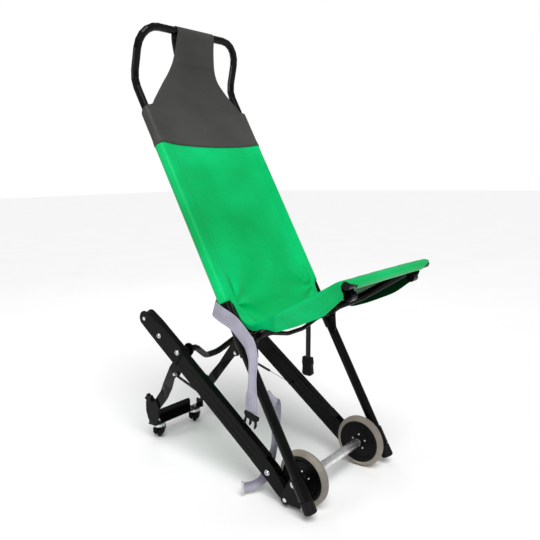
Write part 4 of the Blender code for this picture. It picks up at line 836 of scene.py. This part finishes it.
def build_straps():
    """The lap belt's webbing: right strap with its plug, loose tail, left strap."""
    outside = -0.2439
    right = ((-0.2080, -0.0050, 0.5830, 0.0240), (-0.2290, -0.0020, 0.5805, 0.0240),
             (-0.2400, -0.0120, 0.5755, 0.0240), (outside, -0.0400, 0.5640, 0.0240),
             (outside, -0.0900, 0.5430, 0.0240), (outside, -0.1320, 0.5080, 0.0236),
             (outside, -0.1500, 0.4880, 0.0228), (outside, -0.1600, 0.4600, 0.0195),
             (outside, -0.1640, 0.4380, 0.0165), (outside, -0.1625, 0.4100, 0.0125),
             (outside, -0.1610, 0.3820, 0.0118), (outside + 0.001, -0.1565, 0.3540, 0.0165),
             (outside + 0.001, -0.1530, 0.3300, 0.0220), (outside + 0.003, -0.1500, 0.2830, 0.0240))
    line = curve_through(right, 6)
    path = [at(y, z, x) for x, y, z, _ in line]
    widths = [w for *_, w in line]
    across = []
    for i in range(len(path)):
        t = tangent(path, i)
        hanging = smooth_step(0.03, 0.22, i / len(path))
        across.append(Vector((0, t.z, -t.y)).normalized() * hanging
                      + Vector((0, -0.25, 0.95)) * (1 - hanging))
    strap, length = ribbon("lap_strap_right_webbing", path, across, widths, 0.048, WEBBING_T, 11,
                           WEBBING)
    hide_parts("lap_strap_right")
    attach(strap, "main_frame")

    lines = []
    for z, half in ((0.3180, 0.019), (0.2960, 0.020)):
        line = [at(-0.1520 + k / 8 * half, z + k / 8 * half * 0.06, outside - 0.0002)
                for k in range(-8, 9)]
        lines.append((line, [Vector((-1, 0, 0))] * 17))
    for shift in (-0.018, 0.018):
        line = [at(-0.1520 + shift, 0.2960 + 0.0055 * k, outside - 0.0002) for k in range(5)]
        lines.append((line, [Vector((-1, 0, 0))] * 5))
    seam(lines, "main_frame", "strap_stitching", PALE_THREAD, pitch=0.0036, length=0.0026)
    build_tongue(outside)

    tail = ((-0.1850, -0.1740, 0.2960, 0.0215), (-0.1840, -0.1765, 0.3120, 0.0218),
            (-0.1770, -0.1785, 0.3225, 0.0220), (-0.1700, -0.1795, 0.3130, 0.0220),
            (-0.1685, -0.1810, 0.2800, 0.0205), (-0.1690, -0.1815, 0.2430, 0.0165),
            (-0.1690, -0.1790, 0.2000, 0.0120), (-0.1690, -0.1745, 0.1620, 0.0105),
            (-0.1690, -0.1640, 0.1200, 0.0125), (-0.1700, -0.1530, 0.0850, 0.0150),
            (-0.1810, -0.1390, 0.0480, 0.0158), (-0.2070, -0.1240, 0.0335, 0.0158),
            (-0.2350, -0.1060, 0.0320, 0.0158))
    line = curve_through(tail, 8)
    path = [at(y, z, x) for x, y, z, _ in line]
    widths = [w for *_, w in line]
    across = []
    for i in range(len(path)):
        share = i / (len(path) - 1)
        across.append(Vector((-0.10 * share, 0.95 * (1 - share) ** 2, 0.25 + 0.75 * share)))
    strap, length = ribbon("lap_strap_tail_webbing", path, across, widths, 0.044, WEBBING_T, 9,
                           WEBBING)
    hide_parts("lap_strap_tail")
    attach(strap, "main_frame")

    left = ((0.148, -0.080, 0.520, 0.0125), (0.148, -0.080, 0.450, 0.0125),
            (0.148, -0.079, 0.390, 0.0125), (0.148, -0.078, 0.346, 0.0125))
    line = curve_through(left, 8)
    strap, length = ribbon("lap_strap_left_webbing", [at(y, z, x) for x, y, z, _ in line],
                           Vector((0.25, 1, 0)), [w for *_, w in line], 0.025, WEBBING_T, 7,
                           BLACK_WEBBING)
    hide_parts("lap_strap_left")
    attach(strap, "main_frame")


build_straps()


# ---- springs, bolt heads and other small metal ------------------------------------------------
WIRE_R, COIL_R, COIL_PITCH = 0.0009, 0.0037, 0.0021
COIL_STEPS = 12                               # points in one turn of a coil
RING_STEPS = 24                               # points in one turn of a hook's ring
BOLT_RING_R, EYE_RING_R = 0.0066, 0.0046
BOLT_PLACES = ((0.6030, 0.0462), (0.6983, 0.0308), (0.1182, 0.0233))   # pivot, guide, foot
CHEEK_FACE = 0.2079                           # outer face of the tracks' cheeks
HUB_SCREWS = 5
HUB_SCREW_CIRCLE_R = 0.024


def build_spring(side, sign):
    """Coil with a hook round the leg's bolt and a wire to a loop round the track's eye."""
    bolt = at(0.262, 0.299, sign * 0.1639)
    eye = on_track(0.3541, 0.0150, sign * 0.1706)
    t = (eye - bolt).normalized()
    length = (eye - bolt).length
    u = t.cross(Vector((1, 0, 0))).normalized()
    v = t.cross(u)
    coil = length * 0.62
    start = 0.014
    turns = int((coil - start) / COIL_PITCH)
    path = []
    for k in range(turns * COIL_STEPS + 1):
        a = 2 * math.pi * k / COIL_STEPS
        path.append(bolt + t * (start + (coil - start) * k / (turns * COIL_STEPS))
                    + (u * math.cos(a) + v * math.sin(a)) * COIL_R)
    parts = [tube(path, [WIRE_R] * len(path), 6, t)]
    hook = [bolt + t * s + u * h for s, h in
            ((start + 0.001, COIL_R), (start - 0.003, 0.0020), (0.0085, 0.0004),
             (BOLT_RING_R, 0.0))]
    angles = [2 * math.pi * k / RING_STEPS for k in range(RING_STEPS - 1)]
    ring = [bolt + (t * math.cos(a) + u * math.sin(a)) * BOLT_RING_R for a in angles]
    parts.append(tube(hook + ring[1:], [WIRE_R] * (len(hook) + len(ring) - 1), 6))
    tail = [bolt + t * s + u * h for s, h in
            ((coil - 0.001, COIL_R), (coil + 0.003, 0.0016), (coil + 0.008, 0.0),
             (length * 0.8, 0.0), (length - 0.0085, 0.0), (length - EYE_RING_R, 0.0))]
    loop = [eye - (t * math.cos(a) + u * math.sin(a)) * EYE_RING_R for a in angles]
    parts.append(tube(tail + loop[1:], [0.0010] * (len(tail) + len(loop) - 1), 6))
    vertices, faces = join(parts)
    spring = mesh_object(f"return_spring_coil_{side}", vertices, faces, SPRING_STEEL)
    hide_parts(f"return_spring_{side}")
    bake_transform(spring)


def button_head(origin, axis, radius, height):
    """Dome with a hex socket, as one closed body."""
    profile = [(-0.0006, radius * 0.92), (0.0004, radius), (height * 0.45, radius * 0.95),
               (height * 0.8, radius * 0.78), (height, radius * 0.56), (height, radius * 0.46),
               (height * 0.35, radius * 0.42), (height * 0.33, radius * 0.05)]
    return turned(origin, axis, profile, 24)


def build_bolts():
    """Washers and domed heads on the tracks, and a circle of screws on each face of the hubs."""
    for side, sign in SIDES:
        outward = Vector((sign, 0, 0))
        parts = []
        for place in BOLT_PLACES:
            origin = on_track(*place, sign * CHEEK_FACE)
            washer = [(-0.0001, 0.0078), (-0.0001, 0.0090), (0.0009, 0.0092), (0.0013, 0.0088),
                      (0.0013, 0.0070)]
            head = turned(origin, outward, washer, 28)
            dome = button_head(origin + outward * 0.0014, outward, 0.0074, 0.0052)
            parts += [head, dome]
        vertices, faces = join(parts)
        bolts = mesh_object(f"track_bolt_heads_{side}", vertices, faces, ZINC)
        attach(bolts, "tracks")

        hub = NODES[f"wheel_hub_{side}"]
        low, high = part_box(f"wheel_hub_{side}")
        centre = (low + high) / 2
        parts = []
        for face in (1, -1):
            for k in range(HUB_SCREWS):
                a = 2 * math.pi * k / HUB_SCREWS + 0.3
                place = Vector((centre.x + face * 0.1,
                                centre.y + HUB_SCREW_CIRCLE_R * math.cos(a),
                                centre.z + HUB_SCREW_CIRCLE_R * math.sin(a)))
                hit, point, *_ = hub.ray_cast(place, Vector((-face, 0, 0)))
                if hit:
                    parts.append(button_head(point, Vector((face, 0, 0)), 0.0034, 0.0022))
        if parts:
            vertices, faces = join(parts)
            screws = mesh_object(f"hub_screws_{side}", vertices, faces, ZINC)
            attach(screws, f"wheel_{side}")


for spring_side, spring_sign in SIDES:
    build_spring(spring_side, spring_sign)
build_bolts()


# ---- studio ----------------------------------------------------------------------------------
FLOOR_HALF, FLOOR_Z = 30, -0.0005
SEEN_LEVEL, FILL_LEVEL = 1.0, 0.42            # of the white world: to the camera, as light
SUN_LEVEL = 2.3
LENS = 41.12                                  # the camera is as fitted to the photograph


def build_studio():
    """Floor, white world, lamps and camera."""
    look = Look("pale_floor", roughness=0.75, specular=0.15)
    tones = ((0.3, (0.93, 0.93, 0.93)), (0.7, (0.95, 0.95, 0.95)))
    look.colour(look.ramp(look.noise(2.0, 2.0), tones))
    corners = [(FLOOR_HALF * x, FLOOR_HALF * y, FLOOR_Z)
               for x, y in ((-1, -1), (1, -1), (1, 1), (-1, 1))]
    floor = mesh_object("floor", corners, [(0, 1, 2, 3)], look.material)

    world = bpy.data.worlds.new("studio")
    bpy.context.scene.world = world
    world.use_nodes = True
    background = world.node_tree.nodes["Background"]
    background.inputs["Color"].default_value = (1, 1, 1, 1)
    links = world.node_tree.links
    path = world.node_tree.nodes.new("ShaderNodeLightPath")
    level = world.node_tree.nodes.new("ShaderNodeMapRange")
    level.inputs["To Min"].default_value = FILL_LEVEL
    level.inputs["To Max"].default_value = SEEN_LEVEL
    links.new(path.outputs["Is Camera Ray"], level.inputs["Value"])
    links.new(level.outputs["Result"], background.inputs["Strength"])
    sun = bpy.data.lights.new("sky_panel", "SUN")
    sun.energy = SUN_LEVEL
    sun.angle = math.radians(35)
    panel = bpy.data.objects.new("sky_panel", sun)
    panel.rotation_euler = Vector((0.55, 0.62, -1.15)).to_track_quat("-Z", "Y").to_euler()
    bpy.context.scene.collection.objects.link(panel)

    middle = Vector((0, 0, 0.7))
    for name, place, size, power in (
            ("key", (-1.2, -2.8, 2.4), 0.9, 16.0),
            ("side", (-3.0, 1.2, 1.6), 0.7, 9.0),
            ("back", (1.6, 2.4, 2.6), 1.2, 9.0)):
        lamp = bpy.data.lights.new(name, "AREA")
        lamp.shape = "DISK"
        lamp.size = size
        lamp.energy = power
        obj = bpy.data.objects.new(name, lamp)
        obj.location = place
        obj.rotation_euler = (middle - Vector(place)).to_track_quat("-Z", "Y").to_euler()
        bpy.context.scene.collection.objects.link(obj)

    bpy.context.scene.view_settings.view_transform = "Standard"

    camera = bpy.data.objects.new("camera", bpy.data.cameras.new("camera"))
    bpy.context.scene.collection.objects.link(camera)
    camera.data.sensor_width = 36
    camera.data.lens = LENS
    right = Vector((0.625, -0.7804, -0.0178))
    down = Vector((-0.1296, -0.0813, -0.9882))
    forward = Vector((0.7698, 0.6199, -0.152))
    turn = Matrix((right, -down, -forward)).transposed().to_4x4()
    camera.matrix_world = Matrix.Translation((-1.5457, -1.2754, 0.970)) @ turn
    bpy.context.scene.camera = camera


build_studio()
